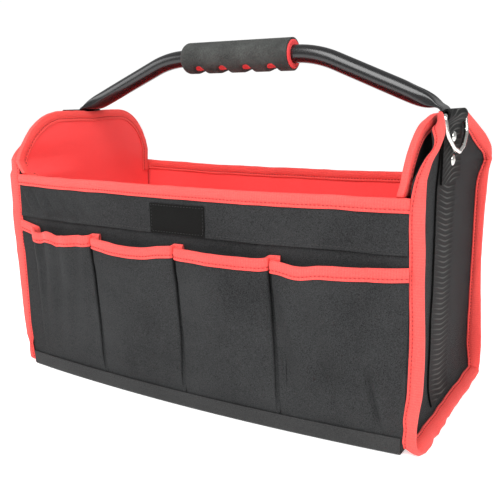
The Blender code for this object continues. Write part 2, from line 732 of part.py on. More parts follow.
def inner_outline():
    """Half of an inner end panel's outline from its foot to the middle of its top, as (y, z)."""
    tape_face = INNER_FACE + BINDING
    half = wall_y(tape_face) - WALL_STACK - BINDING - SEAT_GAP - BINDING
    start = math.degrees(math.asin((INNER_SLANT_TOP - INNER_TOP + INNER_CORNER) / INNER_CORNER))
    bend = arc((INNER_CORNER_Y, INNER_TOP - INNER_CORNER), INNER_CORNER, start, 90, 7)
    return [(half, FLOOR), (half, INNER_TAPE_FOOT), (half, INNER_SHOULDER)] + bend


def build_inner_end(end, word):
    """The inner end panel in three layers, and the tape over its edge above the walls."""
    right = inner_outline()
    outline = right + [(-y, z) for y, z in reversed(right)]
    layers = (("panel", "cloth", CLOTH), ("board", "board", BOARD), ("lining", "lining", LINING))
    x = INNER_FACE
    for layer, look, depth in layers:
        plate(f"{word}_inner_end_{layer}", look, outline, end * x, end * (x - depth))
        x -= depth + SEAT_GAP
    line = outline[1:-1]
    section = tape_section(-WALL_STACK, 0, 0, BINDING - TAPE_WIDTH)
    rings = []
    for (y, z), (out_y, out_z) in zip(line, mitres(line)):
        rings.append([
            Vector((end * (INNER_FACE + across), y - out_y * along, z - out_z * along))
            for across, along in section
        ])
    loft(word + "_inner_end_binding", "tape", rings)


def rivet_hole(end, word, number, height, owner):
    """A cutter for one rivet's clearance hole, long enough for every layer it passes."""
    start = Vector((end * (LEG_FACE - 3 * LEG_THICKNESS), 0, height))
    stop = Vector((end * (BAR_CENTRE + 2 * WEB_BEND), 0, height))
    return rod(f"{word}_{owner}_hole_tool_{number}", RIVET_RADIUS + SEAT_GAP, start, stop, 16)


def build_strap(end, word):
    """One length of webbing: up the end panel, round the ring's bar and back down to its tail."""
    heights = [WEB_FOOT, LOW_HEIGHTS[1], FLARE_HEIGHT, RING_HEIGHT]
    face = [(END_FACE + FLARE * flare(z), z) for z in heights]
    middle = SEAT_GAP + WEB_THICKNESS / 2
    line = [(x - across * middle, z - up * middle) for (x, z), (across, up) in zip(face, mitres(face))]
    line = line[:-1] + arc((BAR_CENTRE, RING_HEIGHT), WEB_BEND, 180, -FOLD_PAST_ANGLE, 9)
    line += [(FRONT_PLY, WEB_JOIN), (FRONT_PLY, WEB_TAIL)]
    steps = mitres(line)

    def surface(offset):
        def place(index, y):
            (x, z), (across, up) = line[index], steps[index]
            return Vector((end * (x + across * offset), y, z + up * offset))
        return place

    half = WEB_WIDTH / 2
    strap = sheet(word + "_end_strap", "webbing", range(len(line)), [-half, half],
                  surface(WEB_THICKNESS / 2), surface(-WEB_THICKNESS / 2))
    for number, height in enumerate(RIVET_HEIGHTS):
        boolean(strap, rivet_hole(end, word, number, height, "strap"), "DIFFERENCE")


def build_ring(end, word):
    """A bent-wire ring with a straight bar, short sides and a blunt point, leaning on the strap."""
    corners = [
        (-RING_HALF_WIDTH, 0), (RING_HALF_WIDTH, 0), (RING_SIDE_TOE, RING_SHOULDER),
        (0, RING_POINT), (-RING_SIDE_TOE, RING_SHOULDER),
    ]
    radii = [RING_CORNER, RING_CORNER, RING_CORNER, RING_POINT_ROUND, RING_CORNER]
    path = rounded(corners, radii, 4)
    clear = FRONT_PLY + WEB_THICKNESS / 2 + SEAT_GAP + RING_WIRE - BAR_CENTRE
    lean = math.asin(clear / RING_SHOULDER)
    steps = mitres([(p.x, p.y) for p in path], closed=True)
    rings = []
    for point, step in zip(path, steps):
        away = Vector(step).normalized()
        ring = []
        for k in range(10):
            angle = math.tau * k / 10
            flat = point + away * (RING_WIRE * math.cos(angle))
            out = RING_WIRE * math.sin(angle)
            x = math.sin(lean) * flat.y + math.cos(lean) * out
            z = math.sin(lean) * out - math.cos(lean) * flat.y
            ring.append(Vector((end * x, flat.x, z)))
        rings.append(ring)
    loft(word + "_ring", "nickel", rings, 60, cyclic=True, place=(end * BAR_CENTRE, 0, RING_HEIGHT))


def build_rivets(end, word):
    """Two rivets through the strap, the end panel and the handle's flattened leg."""
    face = FRONT_PLY + WEB_THICKNESS / 2 + SEAT_GAP
    back = LEG_FACE - LEG_THICKNESS - SEAT_GAP
    dome = [
        (face + RIVET_HEAD * math.cos(math.radians(a)), RIVET_HEAD_RADIUS * math.sin(math.radians(a)))
        for a in (0, 30, 60, 90)
    ]
    dome[0] = (face + RIVET_HEAD, 0)
    profile = dome + [
        (face, RIVET_RADIUS), (back, RIVET_RADIUS), (back, SET_HEAD_RADIUS),
        (back - SET_HEAD, SET_HEAD_RADIUS), (back - SET_HEAD, 0),
    ]
    profile = [(end * x, radius) for x, radius in profile]
    for place, height in zip(("upper", "lower"), RIVET_HEIGHTS):
        lathe(f"{word}_{place}_rivet", "nickel", profile, height, 16, 35)


def tube_path():
    """The right half of the handle's middle line, as (x, z, heading below level) from the centre."""
    slope = math.radians(TUBE_SLOPE_ANGLE)
    path = [(0.0, TUBE_HEIGHT, 0.0), (TUBE_FLAT_HALF / 2, TUBE_HEIGHT, 0.0)]
    for k in range(7):
        turn = slope * k / 6
        path.append((TUBE_FLAT_HALF + TUBE_BEND * math.sin(turn),
                     TUBE_HEIGHT - TUBE_BEND * (1.0 - math.cos(turn)), turn))
    x, z, _ = path[-1]
    bend_start = LEG_CENTRE - LEG_BEND * (1.0 - math.sin(slope))
    for k in range(1, 12):
        share = k / 12
        here = x + (bend_start - x) * share ** 0.6
        path.append((here, z - (here - x) * math.tan(slope), slope))
    centre_x = LEG_CENTRE - LEG_BEND
    centre_z = z - (bend_start - x) * math.tan(slope) - LEG_BEND * math.cos(slope)
    for k in range(6):
        turn = slope + (math.pi / 2 - slope) * k / 5
        path.append((centre_x + LEG_BEND * math.sin(turn), centre_z + LEG_BEND * math.cos(turn), turn))
    path.append((LEG_CENTRE, LEG_FOOT, math.pi / 2))
    return path


def tube_ring(x, z, heading, end):
    """The handle's section at one station: round along the top, pressed flat at the leg."""
    press = min(max((x - TAPER_START) / (TAPER_END - TAPER_START), 0.0), 1.0)
    half_width = TUBE_RADIUS + (LEG_WIDTH / 2 - TUBE_RADIUS) * press ** 3
    half_depth = TUBE_RADIUS + (LEG_THICKNESS / 2 - TUBE_RADIUS) * press ** 4
    square = 2.0 / (2.0 + 5.0 * press ** 4)
    ring = []
    for k in range(20):
        angle = math.tau * (k + 0.5) / 20
        c, s = math.cos(angle), math.sin(angle)
        y = half_width * math.copysign(abs(c) ** square, c)
        up = half_depth * math.copysign(abs(s) ** square, s)
        ring.append(Vector((end * (x + math.sin(heading) * up), y, z + math.cos(heading) * up)))
    return ring


def build_handle():
    """The bent tube, pressed flat at both ends, and the two-part foam grip on its middle."""
    path = tube_path()
    rings = [tube_ring(*station, -1) for station in reversed(path[1:])]
    rings += [tube_ring(*station, 1) for station in path]
    tube = loft("handle_tube", "tube", rings, 40)
    for end, word in ((-1, "left"), (1, "right")):
        for number, height in enumerate(RIVET_HEIGHTS):
            boolean(tube, rivet_hole(end, word, number, height, "leg"), "DIFFERENCE")
    first = GRIP_SHIFT - GRIP_LENGTH / 2
    last = GRIP_SHIFT + GRIP_LENGTH / 2
    bore = TUBE_RADIUS + SEAT_GAP
    seat = LINER_RADIUS + SEAT_GAP
    shell_end = last - GRIP_LIP
    inner_start = first + GRIP_ROUND
    turned = arc((first + GRIP_ROUND, GRIP_RADIUS - GRIP_ROUND), GRIP_ROUND, 180, 90, 5)
    foam = [(inner_start, bore), (first, bore)] + turned + [
        (shell_end, GRIP_RADIUS), (shell_end, seat), (inner_start, seat),
    ]
    lip = shell_end + SEAT_GAP
    liner = [
        (inner_start + SEAT_GAP, bore), (inner_start + SEAT_GAP, LINER_RADIUS), (lip, LINER_RADIUS),
        (lip, GRIP_LIP_RADIUS), (last - LIP_CHAMFER, GRIP_LIP_RADIUS),
        (last, GRIP_LIP_RADIUS - LIP_CHAMFER), (last, bore),
    ]
    shell = lathe("grip_foam", "foam", foam, TUBE_HEIGHT, 32, 35)
    core = lathe("grip_liner", "liner", liner, TUBE_HEIGHT, 32, 35)
    tilt = math.radians(NOTCH_TILT_ANGLE)
    sink = NOTCH_FLOOR + NOTCH_RADIUS
    middle_y, middle_z = -math.sin(tilt) * sink, TUBE_HEIGHT - math.cos(tilt) * sink
    across = Vector((0, math.cos(tilt), -math.sin(tilt))) * (2 * GRIP_RADIUS)
    for k in range(4):
        middle = Vector((GRIP_SHIFT + NOTCH_PITCH * (k - 1.5), middle_y, middle_z))
        for owner, body in (("foam", shell), ("liner", core)):
            notch = rod(f"{owner}_notch_tool_{k}", NOTCH_RADIUS, middle - across, middle + across, 40)
            boolean(body, notch, "DIFFERENCE")


for old in list(bpy.data.objects):
    bpy.data.objects.remove(old, do_unlink=True)

build_base()
for wall_side, wall_word in ((-1, "front"), (1, "back")):
    build_wall(wall_side, wall_word)
    build_pockets(wall_side, wall_word)
build_label()
for end_side, end_word in ((-1, "left"), (1, "right")):
    build_outer_end(end_side, end_word)
    build_inner_end(end_side, end_word)
    build_strap(end_side, end_word)
    build_ring(end_side, end_word)
    build_rivets(end_side, end_word)
build_handle()
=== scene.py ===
import math

import bmesh
import bpy
from mathutils import Matrix, Vector, noise


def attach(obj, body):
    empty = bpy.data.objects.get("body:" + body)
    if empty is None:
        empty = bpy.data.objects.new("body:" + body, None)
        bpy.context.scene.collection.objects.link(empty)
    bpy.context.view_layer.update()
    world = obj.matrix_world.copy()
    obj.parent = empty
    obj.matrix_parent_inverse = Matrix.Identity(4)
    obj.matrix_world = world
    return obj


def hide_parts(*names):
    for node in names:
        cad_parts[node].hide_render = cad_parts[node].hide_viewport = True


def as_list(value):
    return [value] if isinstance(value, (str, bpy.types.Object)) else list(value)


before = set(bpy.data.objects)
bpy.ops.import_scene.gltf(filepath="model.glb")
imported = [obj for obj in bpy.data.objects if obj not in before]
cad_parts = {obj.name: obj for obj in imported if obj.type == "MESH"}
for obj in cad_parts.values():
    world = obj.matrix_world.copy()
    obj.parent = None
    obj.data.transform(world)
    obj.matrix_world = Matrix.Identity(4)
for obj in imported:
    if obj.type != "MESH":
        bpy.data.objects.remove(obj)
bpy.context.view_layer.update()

# Camera: stands in front of the bag and to its right, a little above it, as in the photograph.
# A 50 mm view; the bag fills the square frame.
AZIMUTH, ELEVATION, ROLL = (math.radians(angle) for angle in (30.891, 12.332, -0.7055))
AIM_HEIGHT = 0.15
EYE_BACK, EYE_RIGHT, EYE_UP = 0.6848, 0.0082, -0.0268


def added(name, data):
    """A new object in the scene."""
    obj = bpy.data.objects.new(name, data)
    bpy.context.scene.collection.objects.link(obj)
    return obj


def placed(x, y, z, centre):
    """The matrix whose columns are three axes and a place."""
    return Matrix([(x[k], y[k], z[k], centre[k]) for k in range(3)] + [(0, 0, 0, 1)])


ahead, rise = math.cos(ELEVATION), math.sin(ELEVATION)
back = Vector((math.sin(AZIMUTH) * ahead, -math.cos(AZIMUTH) * ahead, rise))
level = (-back).cross(Vector((0, 0, 1))).normalized()
upright = level.cross(-back)
right = level * math.cos(ROLL) + upright * math.sin(ROLL)
up = upright * math.cos(ROLL) - level * math.sin(ROLL)
eye = Vector((0, 0, AIM_HEIGHT)) + back * EYE_BACK + right * EYE_RIGHT + up * EYE_UP
camera = added("camera", bpy.data.cameras.new("camera"))
camera.data.lens = 50.23
camera.data.sensor_width = 36.0
camera.data.clip_start = 0.01
camera.matrix_world = placed(right, up, back, eye)
bpy.context.scene.camera = camera
bpy.context.scene.view_settings.view_transform = "Standard"

# Studio: a pale sweep for a floor, a white room all round, and soft boxes over the front, to the right
# and to the left, which give the tube its long pale highlight.
ROOM_LIGHT = 0.42
ROOM_SEEN_MORE = 0.60
FLOOR_DROP = 0.0006
LAMP_AIM = Vector((0, 0, 0.12))


class Finish:
    """A material in the making: a slot name, kept but not used, and short calls for the nodes that feed its shader."""

    def __init__(self, name, slot=""):
        self.slot = slot
        self.material = bpy.data.materials.new(name)
        self.material.use_nodes = True
        self.sockets = self.material.node_tree.nodes["Principled BSDF"].inputs
        self.place = self.node("TexCoord", {}).outputs["Object"]

    def feed(self, socket, value):
        """Links a socket, or sets it to a number or a colour."""
        if isinstance(value, bpy.types.NodeSocket):
            self.material.node_tree.links.new(value, socket)
        else:
            socket.default_value = (*value, 1.0) if isinstance(value, tuple) else value

    def node(self, kind, inputs, **settings):
        node = self.material.node_tree.nodes.new("ShaderNode" + kind)
        for name, value in settings.items():
            setattr(node, name, value)
        for key, value in inputs.items():
            self.feed(node.inputs[key], value)
        return node

    def surface(self, colour, roughness, **others):
        """What the shader gets: colour, roughness, and other sockets by name, with _ for a space."""
        for name, value in (("Base_Color", colour), ("Roughness", roughness), *others.items()):
            self.feed(self.sockets[name.replace("_", " ")], value)

    def bump(self, height, strength, distance):
        relief = self.node("Bump", {"Height": height, "Strength": strength, "Distance": distance})
        self.feed(self.sockets["Normal"], relief.outputs["Normal"])

    def cloth_map(self):
        """The two directions of a piece's own map, in metres along the cloth."""
        return self.node("SeparateXYZ", {0: self.node("UVMap", {}, uv_map="cloth_map").outputs["UV"]}).outputs[:2]

    def calc(self, operation, *values):
        """One step of arithmetic on sockets or numbers."""
        return self.node("Math", dict(enumerate(values)), operation=operation).outputs[0]

    def times(self, a, b):
        return self.calc("MULTIPLY", a, b)

    def wave(self, value, turns):
        return self.calc("SINE", self.times(value, turns))

    def weigh(self, *pairs):
        """The sum of several values, each times its weight."""
        total = 0.0
        for value, weight in pairs:
            total = self.calc("MULTIPLY_ADD", value, weight, total)
        return total

    def cloudy(self, scale, detail=3.0, rough=0.6):
        sockets = {"Vector": self.place, "Scale": scale, "Detail": detail, "Roughness": rough}
        return self.node("TexNoise", sockets).outputs["Fac"]

    def shades(self, value, low, dark, high, light):
        """Colours along a value, from dark at low to light at high."""
        node = self.node("ValToRGB", {"Fac": value})
        for element, place, colour in zip(node.color_ramp.elements, (low, high), (dark, light)):
            element.position = place
            element.color = (*colour, 1.0)
        return node.outputs["Color"]


def data_of(name, mesh):
    """The finished data of a shape, whose working copy is freed."""
    data = bpy.data.meshes.new(name)
    mesh.to_mesh(data)
    mesh.free()
    return data


world = bpy.data.worlds.new("white_room")
bpy.context.scene.world = world
world.use_nodes = True
room, room_links = world.node_tree.nodes, world.node_tree.links
room["Background"].inputs["Color"].default_value = (1.0, 1.0, 1.0, 1.0)
dimmer = room.new("ShaderNodeMath")
dimmer.operation = "MULTIPLY_ADD"
dimmer.inputs[1].default_value = ROOM_SEEN_MORE
dimmer.inputs[2].default_value = ROOM_LIGHT
room_links.new(room.new("ShaderNodeLightPath").outputs["Is Camera Ray"], dimmer.inputs[0])
room_links.new(dimmer.outputs[0], room["Background"].inputs["Strength"])
for name, place, size, power in (
    ("box_over_front", (0.10, -1.20, 1.45), 1.2, 32.0), ("box_right", (1.25, -0.60, 1.00), 0.9, 12.0),
    ("box_left", (-1.3, -0.75, 0.8), 0.8, 6.0),
):
    lamp = added(name, bpy.data.lights.new(name, "AREA"))
    lamp.data.size = size
    lamp.data.energy = power
    lamp.location = place
    lamp.rotation_mode = "QUATERNION"
    lamp.rotation_quaternion = (LAMP_AIM - Vector(place)).to_track_quat("-Z", "Y")
ground = bmesh.new()
bmesh.ops.create_grid(ground, x_segments=8, y_segments=8, size=6.0)
studio_floor = added("studio_floor", data_of("studio_floor", ground))
studio_floor.location = (0, 0, -FLOOR_DROP)
floor_paint = Finish("floor_paint")
floor_paint.surface((0.93, 0.93, 0.93), 0.9, Specular_IOR_Level=0.1, Emission_Color=(1.0, 1.0, 1.0),
                    Emission_Strength=0.62)
studio_floor.data.materials.append(floor_paint.material)

# Base tray: coated dark grey cloth folded up round the foot of the walls, with a board and a red
# lining laid in it. Its band is sewn to the walls near its upper edge.
SEAT_GAP = 0.0003
CLOTH = 0.0008
BOARD = 0.0015
LINING = 0.0006
HALF_LENGTH = 0.200
HALF_DEPTH = 0.0957
WALL_BOW = 0.0105
WALL_HEIGHT = 0.1975
WALL_END = 0.199
WALL_STACK = CLOTH + BOARD + LINING + 2 * SEAT_GAP
WALL_SLACK = 0.0016
BACK_DIP = 0.0042
FRONT_DIP = 0.0006
CORNER_TUCK = 0.0044
BASE_CLOTH = 0.0012
BASE_BOARD = 0.003
BAND_HEIGHT = 0.0145
BAND_STEP = 0.0045
BAND_STEPS = 3
BASE_ROUND = 0.0016
ROUND_STEPS = 6
FLOOR_STEPS = 12
FLOOR = BASE_CLOTH + SEAT_GAP
FLOOR_SLACK = 0.0010
INNER_BACK = 0.1887


def ease(low, high, value):
    """A smooth step from 0 at low to 1 at high."""
    share = min(max((value - low) / (high - low), 0.0), 1.0)
    return share * share * (3.0 - 2.0 * share)


def through(knots, value):
    """A smooth line through a few (place, height) pairs, level beyond its ends."""
    value = min(max(value, knots[0][0]), knots[-1][0])
    k = next(k for k in range(1, len(knots)) if value <= knots[k][0])
    slopes = []
    for j in (k - 1, k):
        (a, low), (b, high) = knots[max(j - 1, 0)], knots[min(j + 1, len(knots) - 1)]
        slopes.append((high - low) / (b - a))
    (a, low), (b, high) = knots[k - 1], knots[k]
    t = (value - a) / (b - a)
    return (low * (1 + 2 * t) * (1 - t) ** 2 + high * t * t * (3 - 2 * t)
            + (b - a) * (slopes[0] * t * (1 - t) ** 2 - slopes[1] * t * t * (1 - t)))


def ripple(x, y, z):
    return noise.noise(Vector((x, y, z)))


def wall_y(x):
    """Distance of a long wall's cloth from the middle of the bag."""
    share = min(abs(x) / HALF_LENGTH, 1.0)
    return HALF_DEPTH + WALL_BOW * (1.0 - share * share)


def give(p):
    """Where a point of the sewn bag has settled: slack walls, a dipping back edge, wavy end panels, and the left
    front corner drawn in at its foot. All the cloth goes by it, so the layers stay one on another."""
    side = 1.0 if p.y > 0 else -1.0
    on_wall = ease(0.06, 0.09, abs(p.y)) * (1.0 - ease(0.165, 0.197, abs(p.x)))
    out = WALL_SLACK * ripple(p.x * 13, p.z * 9, side * 3.1) + WALL_SLACK / 2 * ripple(p.x * 34, p.z * 17, side * 7.7)
    span = 1.0 - min(abs(p.x) / HALF_LENGTH, 1.0) ** 2.5
    down = (BACK_DIP if p.y > 0 else FRONT_DIP) * span * ease(0.10, 0.195, p.z)
    down += 0.0006 * on_wall * ease(0.1, 0.19, p.z) * ripple(p.x * 22, 4.4, side * 2)
    clear = 1.0 - (1.0 - ease(0.02, 0.05, abs(p.y))) * ease(0.15, 0.19, p.z)
    at_foot = 1.0 - ease(0.012, 0.05, p.z)
    away = 0.0009 * ripple(p.y * 24, p.z * 17, math.copysign(5.5, p.x))
    away += at_foot * 0.0012 * ripple(p.y * 48, 2.2, p.x * 9)
    away *= ease(0.1975, 0.1985, abs(p.x)) * clear
    tucked = CORNER_TUCK * (1.0 - ease(0.0, 0.048, p.z)) * ease(0.150, 0.200, -p.x) * ease(0.02, 0.09, -p.y)
    return Vector((
        p.x + math.copysign(away, p.x) + tucked,
        p.y + side * out * ease(0.02, 0.13, p.z) * on_wall,
        p.z - down * ease(0.05, 0.085, abs(p.y)),
    ))


def finer(values, step):
    """The same places with more of them between, none further apart than a step."""
    line = [values[0]]
    for a, b in zip(values, values[1:]):
        parts = max(1, math.ceil(abs(b - a) / step - 1e-6))
        line += [a + (b - a) * k / parts for k in range(1, parts + 1)]
    return line


def even(count):
    """Shares from -1 to 1, with the same number on both sides of the middle."""
    return [k / count - 1 for k in range(2 * count + 1)]


def arc(start, stop, steps):
    return [start + (stop - start) * k / steps for k in range(steps + 1)]


def put(name, mesh, finish, replaced=(), crease=48, body="bag"):
    """Closes a piece: normals out, smooth with its real edges kept, finish, body and the nodes it stands for."""
    bmesh.ops.recalc_face_normals(mesh, faces=mesh.faces[:])
    data = data_of(name, mesh)
    data.shade_smooth()
    data.set_sharp_from_angle(angle=math.radians(crease))
    data.materials.append(finish.material)
    obj = added(name, data)
    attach(obj, body)
    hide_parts(*replaced)
    return obj


def cut_sheet(columns, rows, outer, inner, keep=None, settle=give):
    """A sheet of cloth with its real thickness: a grid laid on its face and extruded to its back.
    Its map runs in metres along the cloth, so that a weave follows the piece."""
    mesh = bmesh.new()
    cells, bands = len(columns) - 1, len(rows) - 1
    bmesh.ops.create_grid(mesh, x_segments=cells, y_segments=bands, size=1.0)

    def spot(vert):
        return round((vert.co.x + 1.0) * cells / 2), round((vert.co.y + 1.0) * bands / 2)

    if keep is not None:
        gone = [face for face in mesh.faces if not keep(*map(min, zip(*(spot(v) for v in face.verts))))]
        bmesh.ops.delete(mesh, geom=gone, context="FACES")
    grown = bmesh.ops.extrude_face_region(mesh, geom=mesh.faces[:])["geom"]
    inside = {item for item in grown if isinstance(item, bmesh.types.BMVert)}
    spots = {vert: spot(vert) for vert in mesh.verts}
    for vert, (i, j) in spots.items():
        vert.co = settle((inner if vert in inside else outer)(columns[i], rows[j]))
    mid_row, mid_column = rows[bands // 2], columns[cells // 2]
    warp, weft = [0.0], [0.0]
    for a, b in zip(columns, columns[1:]):
        warp.append(warp[-1] + (outer(a, mid_row) - outer(b, mid_row)).length)
    for a, b in zip(rows, rows[1:]):
        weft.append(weft[-1] + (outer(mid_column, a) - outer(mid_column, b)).length)
    uv = mesh.loops.layers.uv.new("cloth_map")
    for face in mesh.faces:
        for loop in face.loops:
            i, j = spots[loop.vert]
            loop[uv].uv = (warp[i], weft[j])
    return mesh


def woven(name, slot, dark, light, thread, rough, sheen, lift, wear=None, rib=1.0, specular=0.25, painted_rib_shade_pitch=0.0,
          span=(0.34, 0.70)):
    """Plain woven cloth: threads over and under each other, uneven dye, rubbed patches, and painted shade in the
    hollows between threads.
    """
    finish = Finish(name, slot)
    across, along = finish.cloth_map()
    warp, weft = finish.wave(across, math.pi / thread), finish.wave(along, math.pi / (thread * rib))
    over = finish.calc("GREATER_THAN", finish.times(warp, weft), 0.0)
    height = finish.weigh((finish.calc("ABSOLUTE", warp), over),
                          (finish.calc("ABSOLUTE", weft), finish.calc("SUBTRACT", 1.0, over)))
    broad = finish.cloudy(14.0, 4.0, 0.62)
    fine = finish.cloudy(1500.0, 2.0, 0.7)
    grain = finish.cloudy(1050.0, 3.0, 0.75)
    # Colour: uneven dye from noise, plus painted shade from the threads' height, darker in the hollows between them.
    dye_and_painted_shade = finish.weigh((height, 0.12), (broad, 0.20), (fine, 0.42), (grain, 0.33))
    # Painted shade for a ribbed tape: colour stripes across the run stand in for the ribs' relief.
    if painted_rib_shade_pitch > 0:
        dye_and_painted_shade = finish.calc("MULTIPLY_ADD", finish.wave(across, math.tau / painted_rib_shade_pitch), 0.03, dye_and_painted_shade)
    colour = finish.shades(dye_and_painted_shade, span[0], dark, span[1], light)
    if wear:
        share, pale = wear
        rubbed = finish.cloudy(38.0, 6.0, 0.7)
        patch = finish.times(finish.calc("GREATER_THAN", rubbed, 0.62), share)
        soft = finish.times(finish.calc("SUBTRACT", rubbed, 0.45), share * 2.2)
        worn = finish.calc("MAXIMUM", finish.calc("MINIMUM", patch, soft), 0.0)
        colour = finish.node("Mix", {0: worn, 6: colour, 7: pale}, data_type="RGBA").outputs[2]
    gloss = finish.calc("MULTIPLY_ADD", broad, rough[1] - rough[0], rough[0])
    tint = tuple(min(channel * 2 + 0.3, 1) for channel in light)
    finish.surface(colour, gloss, Specular_IOR_Level=specular, Sheen_Weight=sheen, Sheen_Roughness=0.45,
                   Sheen_Tint=tint)
    finish.bump(finish.calc("MULTIPLY_ADD", fine, 0.5, height), 0.55, lift)
    return finish


tray_cloth = woven("coated_base_cloth", "base_cloth", (0.006, 0.006, 0.0065), (0.042, 0.042, 0.042), 0.0007,
                   (0.50, 0.68), 0.01, 0.00006, specular=0.12, span=(0.38, 0.66))
red_lining = woven("red_lining", "red_lining", (0.86, 0.050, 0.050), (0.98, 0.095, 0.092), 0.00045, (0.50, 0.68), 0.10,
                   0.00008)
board = Finish("stiffening_board", "board")
pulp = board.cloudy(260.0, 5.0, 0.7)
board.surface(board.shades(pulp, 0.3, (0.22, 0.19, 0.15), 0.7, (0.36, 0.32, 0.26)), 0.85)
board.bump(pulp, 0.3, 0.0002)


def tray_section(offset):
    """The tray's section: a wall, a rounded corner, the floor, and the same again on the other side."""
    radius = BASE_ROUND + offset
    corner = [(BASE_ROUND - radius * math.cos(a), BASE_ROUND - radius * math.sin(a))
              for a in arc(0, math.pi / 2, ROUND_STEPS)]

    def place(x, index):
        edge = wall_y(x) + CLOTH + 2 * SEAT_GAP
        half = [(-edge - offset, BAND_HEIGHT - BAND_STEP * k) for k in range(BAND_STEPS)]
        half += [(y - edge, BASE_CLOTH + z) for y, z in corner]
        y, z = half[-1]
        line = half + [(y * (1 - 2 * k / FLOOR_STEPS), z) for k in range(1, FLOOR_STEPS)]
        y, z = (line + [(-y, z) for y, z in reversed(half)])[index]
        return Vector((x, y, z))
    return place


tray_points = 2 * (BAND_STEPS + ROUND_STEPS + 1) + FLOOR_STEPS - 1
tray = cut_sheet(finer([-WALL_END, WALL_END], 0.006), list(range(tray_points)), tray_section(BASE_CLOTH),
                 tray_section(0))
base_tray = put("base_tray_cloth", tray, tray_cloth, ["base_cover"])


def floor_level(z, slack=0.0):
    """A layer on the bag's floor. Cloth that isn't glued down lies with small rises."""
    def place(x, share):
        lift = slack * max(ripple(x * 16, share * 2.6, 1.7), 0.0) * (1 - share ** 6)
        return Vector((x, share * (wall_y(x) - WALL_STACK - SEAT_GAP), z + lift))
    return place


floor_ends = [-INNER_BACK + SEAT_GAP, INNER_BACK - SEAT_GAP]
low = FLOOR + BASE_BOARD
plank = cut_sheet(finer(floor_ends, 0.008), even(10), floor_level(low), floor_level(FLOOR), settle=Vector)
put("base_stiffener", plank, board, ["base_board"])
low += SEAT_GAP
lining = cut_sheet(finer(floor_ends, 0.005), even(20), floor_level(low + LINING, FLOOR_SLACK),
                   floor_level(low, FLOOR_SLACK), settle=Vector)
floor_lining = put("base_floor_lining", lining, red_lining, ["base_lining"])

# Long walls: black woven polyester over a board, red lining inside. The outer cloth runs past each
# end seam into the standing fin, and a second width of it hangs from the top edge down to a sewn seam.
FIN_REACH = 0.0096
FIN_INSET = 0.0014
FIN_FOOT = 0.022
SEAM_HEIGHT = 0.157
HEM = 0.006
HEM_LIFT = 0.0007
HEM_WAVE = 0.0005
SLACK_FOLD = 0.0018
SLACK_PITCH = 0.019
BOARD_END = 0.197
black_cloth = woven("black_polyester", "black_cloth", (0.001, 0.0011, 0.0013), (0.044, 0.045, 0.046), 0.0005,
                    (0.60, 0.78), 0.008, 0.00022, (0.08, (0.08, 0.08, 0.08)), specular=0.07, span=(0.40, 0.66))


def wall_face(side, offset):
    return lambda x, z: Vector((x, side * (wall_y(x) + offset), z))


def hem(side, offset):
    """The hanging width's face, whose lower edge stands a little off the wall. The front one is slack at its
    left end."""
    def place(x, z):
        off = HEM_LIFT * (1.0 - ease(SEAM_HEIGHT, SEAM_HEIGHT + HEM, z))
        if side < 0:
            slack = ease(-0.199, -0.185, x) * (1 - ease(-0.130, -0.080, x))
            slack *= ease(SEAM_HEIGHT, 0.170, z) * (1 - ease(0.178, 0.187, z))
            off += SLACK_FOLD * slack * (1 + math.sin(math.tau * (x + 0.7 * (z - 0.177)) / SLACK_PITCH))
        wave = HEM_WAVE * ripple(x * 30, 2.0, side) * (1.0 - ease(SEAM_HEIGHT, SEAM_HEIGHT + 0.01, z))
        return Vector((x, side * (wall_y(x) + offset + off), z + wave))
    return place


for side, word in ((-1, "front"), (1, "back")):
    reach = HALF_LENGTH + FIN_REACH - FIN_INSET
    columns = finer([-reach, -WALL_END, -0.150, 0.150, WALL_END, reach], 0.0055)
    first, last = columns.index(-WALL_END), columns.index(WALL_END)
    rows = finer([FLOOR, FIN_FOOT, WALL_HEIGHT], 0.0055)
    foot = rows.index(FIN_FOOT)
    wall = cut_sheet(columns, rows, wall_face(side, 0), wall_face(side, -CLOTH),
                     lambda i, j: j >= foot or first <= i < last)
    piece = put(word + "_wall_cloth", wall, black_cloth, [word + "_panel"])
    band = cut_sheet(finer([-WALL_END, WALL_END], 0.0025), finer([SEAM_HEIGHT, SEAM_HEIGHT + HEM, WALL_HEIGHT], 0.0028),
                     hem(side, CLOTH + SEAT_GAP), hem(side, SEAT_GAP))
    piece = put(word + "_band_cloth", band, black_cloth, [word + "_facing"])
    ends, near = [-BOARD_END, BOARD_END], -CLOTH - SEAT_GAP
    stiff = cut_sheet(finer(ends, 0.009), finer([FLOOR, WALL_HEIGHT], 0.012), wall_face(side, near),
                      wall_face(side, near - BOARD))
    put(word + "_wall_board", stiff, board, [word + "_stiffener"])
    near -= BOARD + SEAT_GAP
    inside = cut_sheet(finer(ends, 0.005), finer([FLOOR, WALL_HEIGHT], 0.005), wall_face(side, near),
                       wall_face(side, near - LINING))
    piece = put(word + "_wall_lining", inside, red_lining, [word + "_lining"])

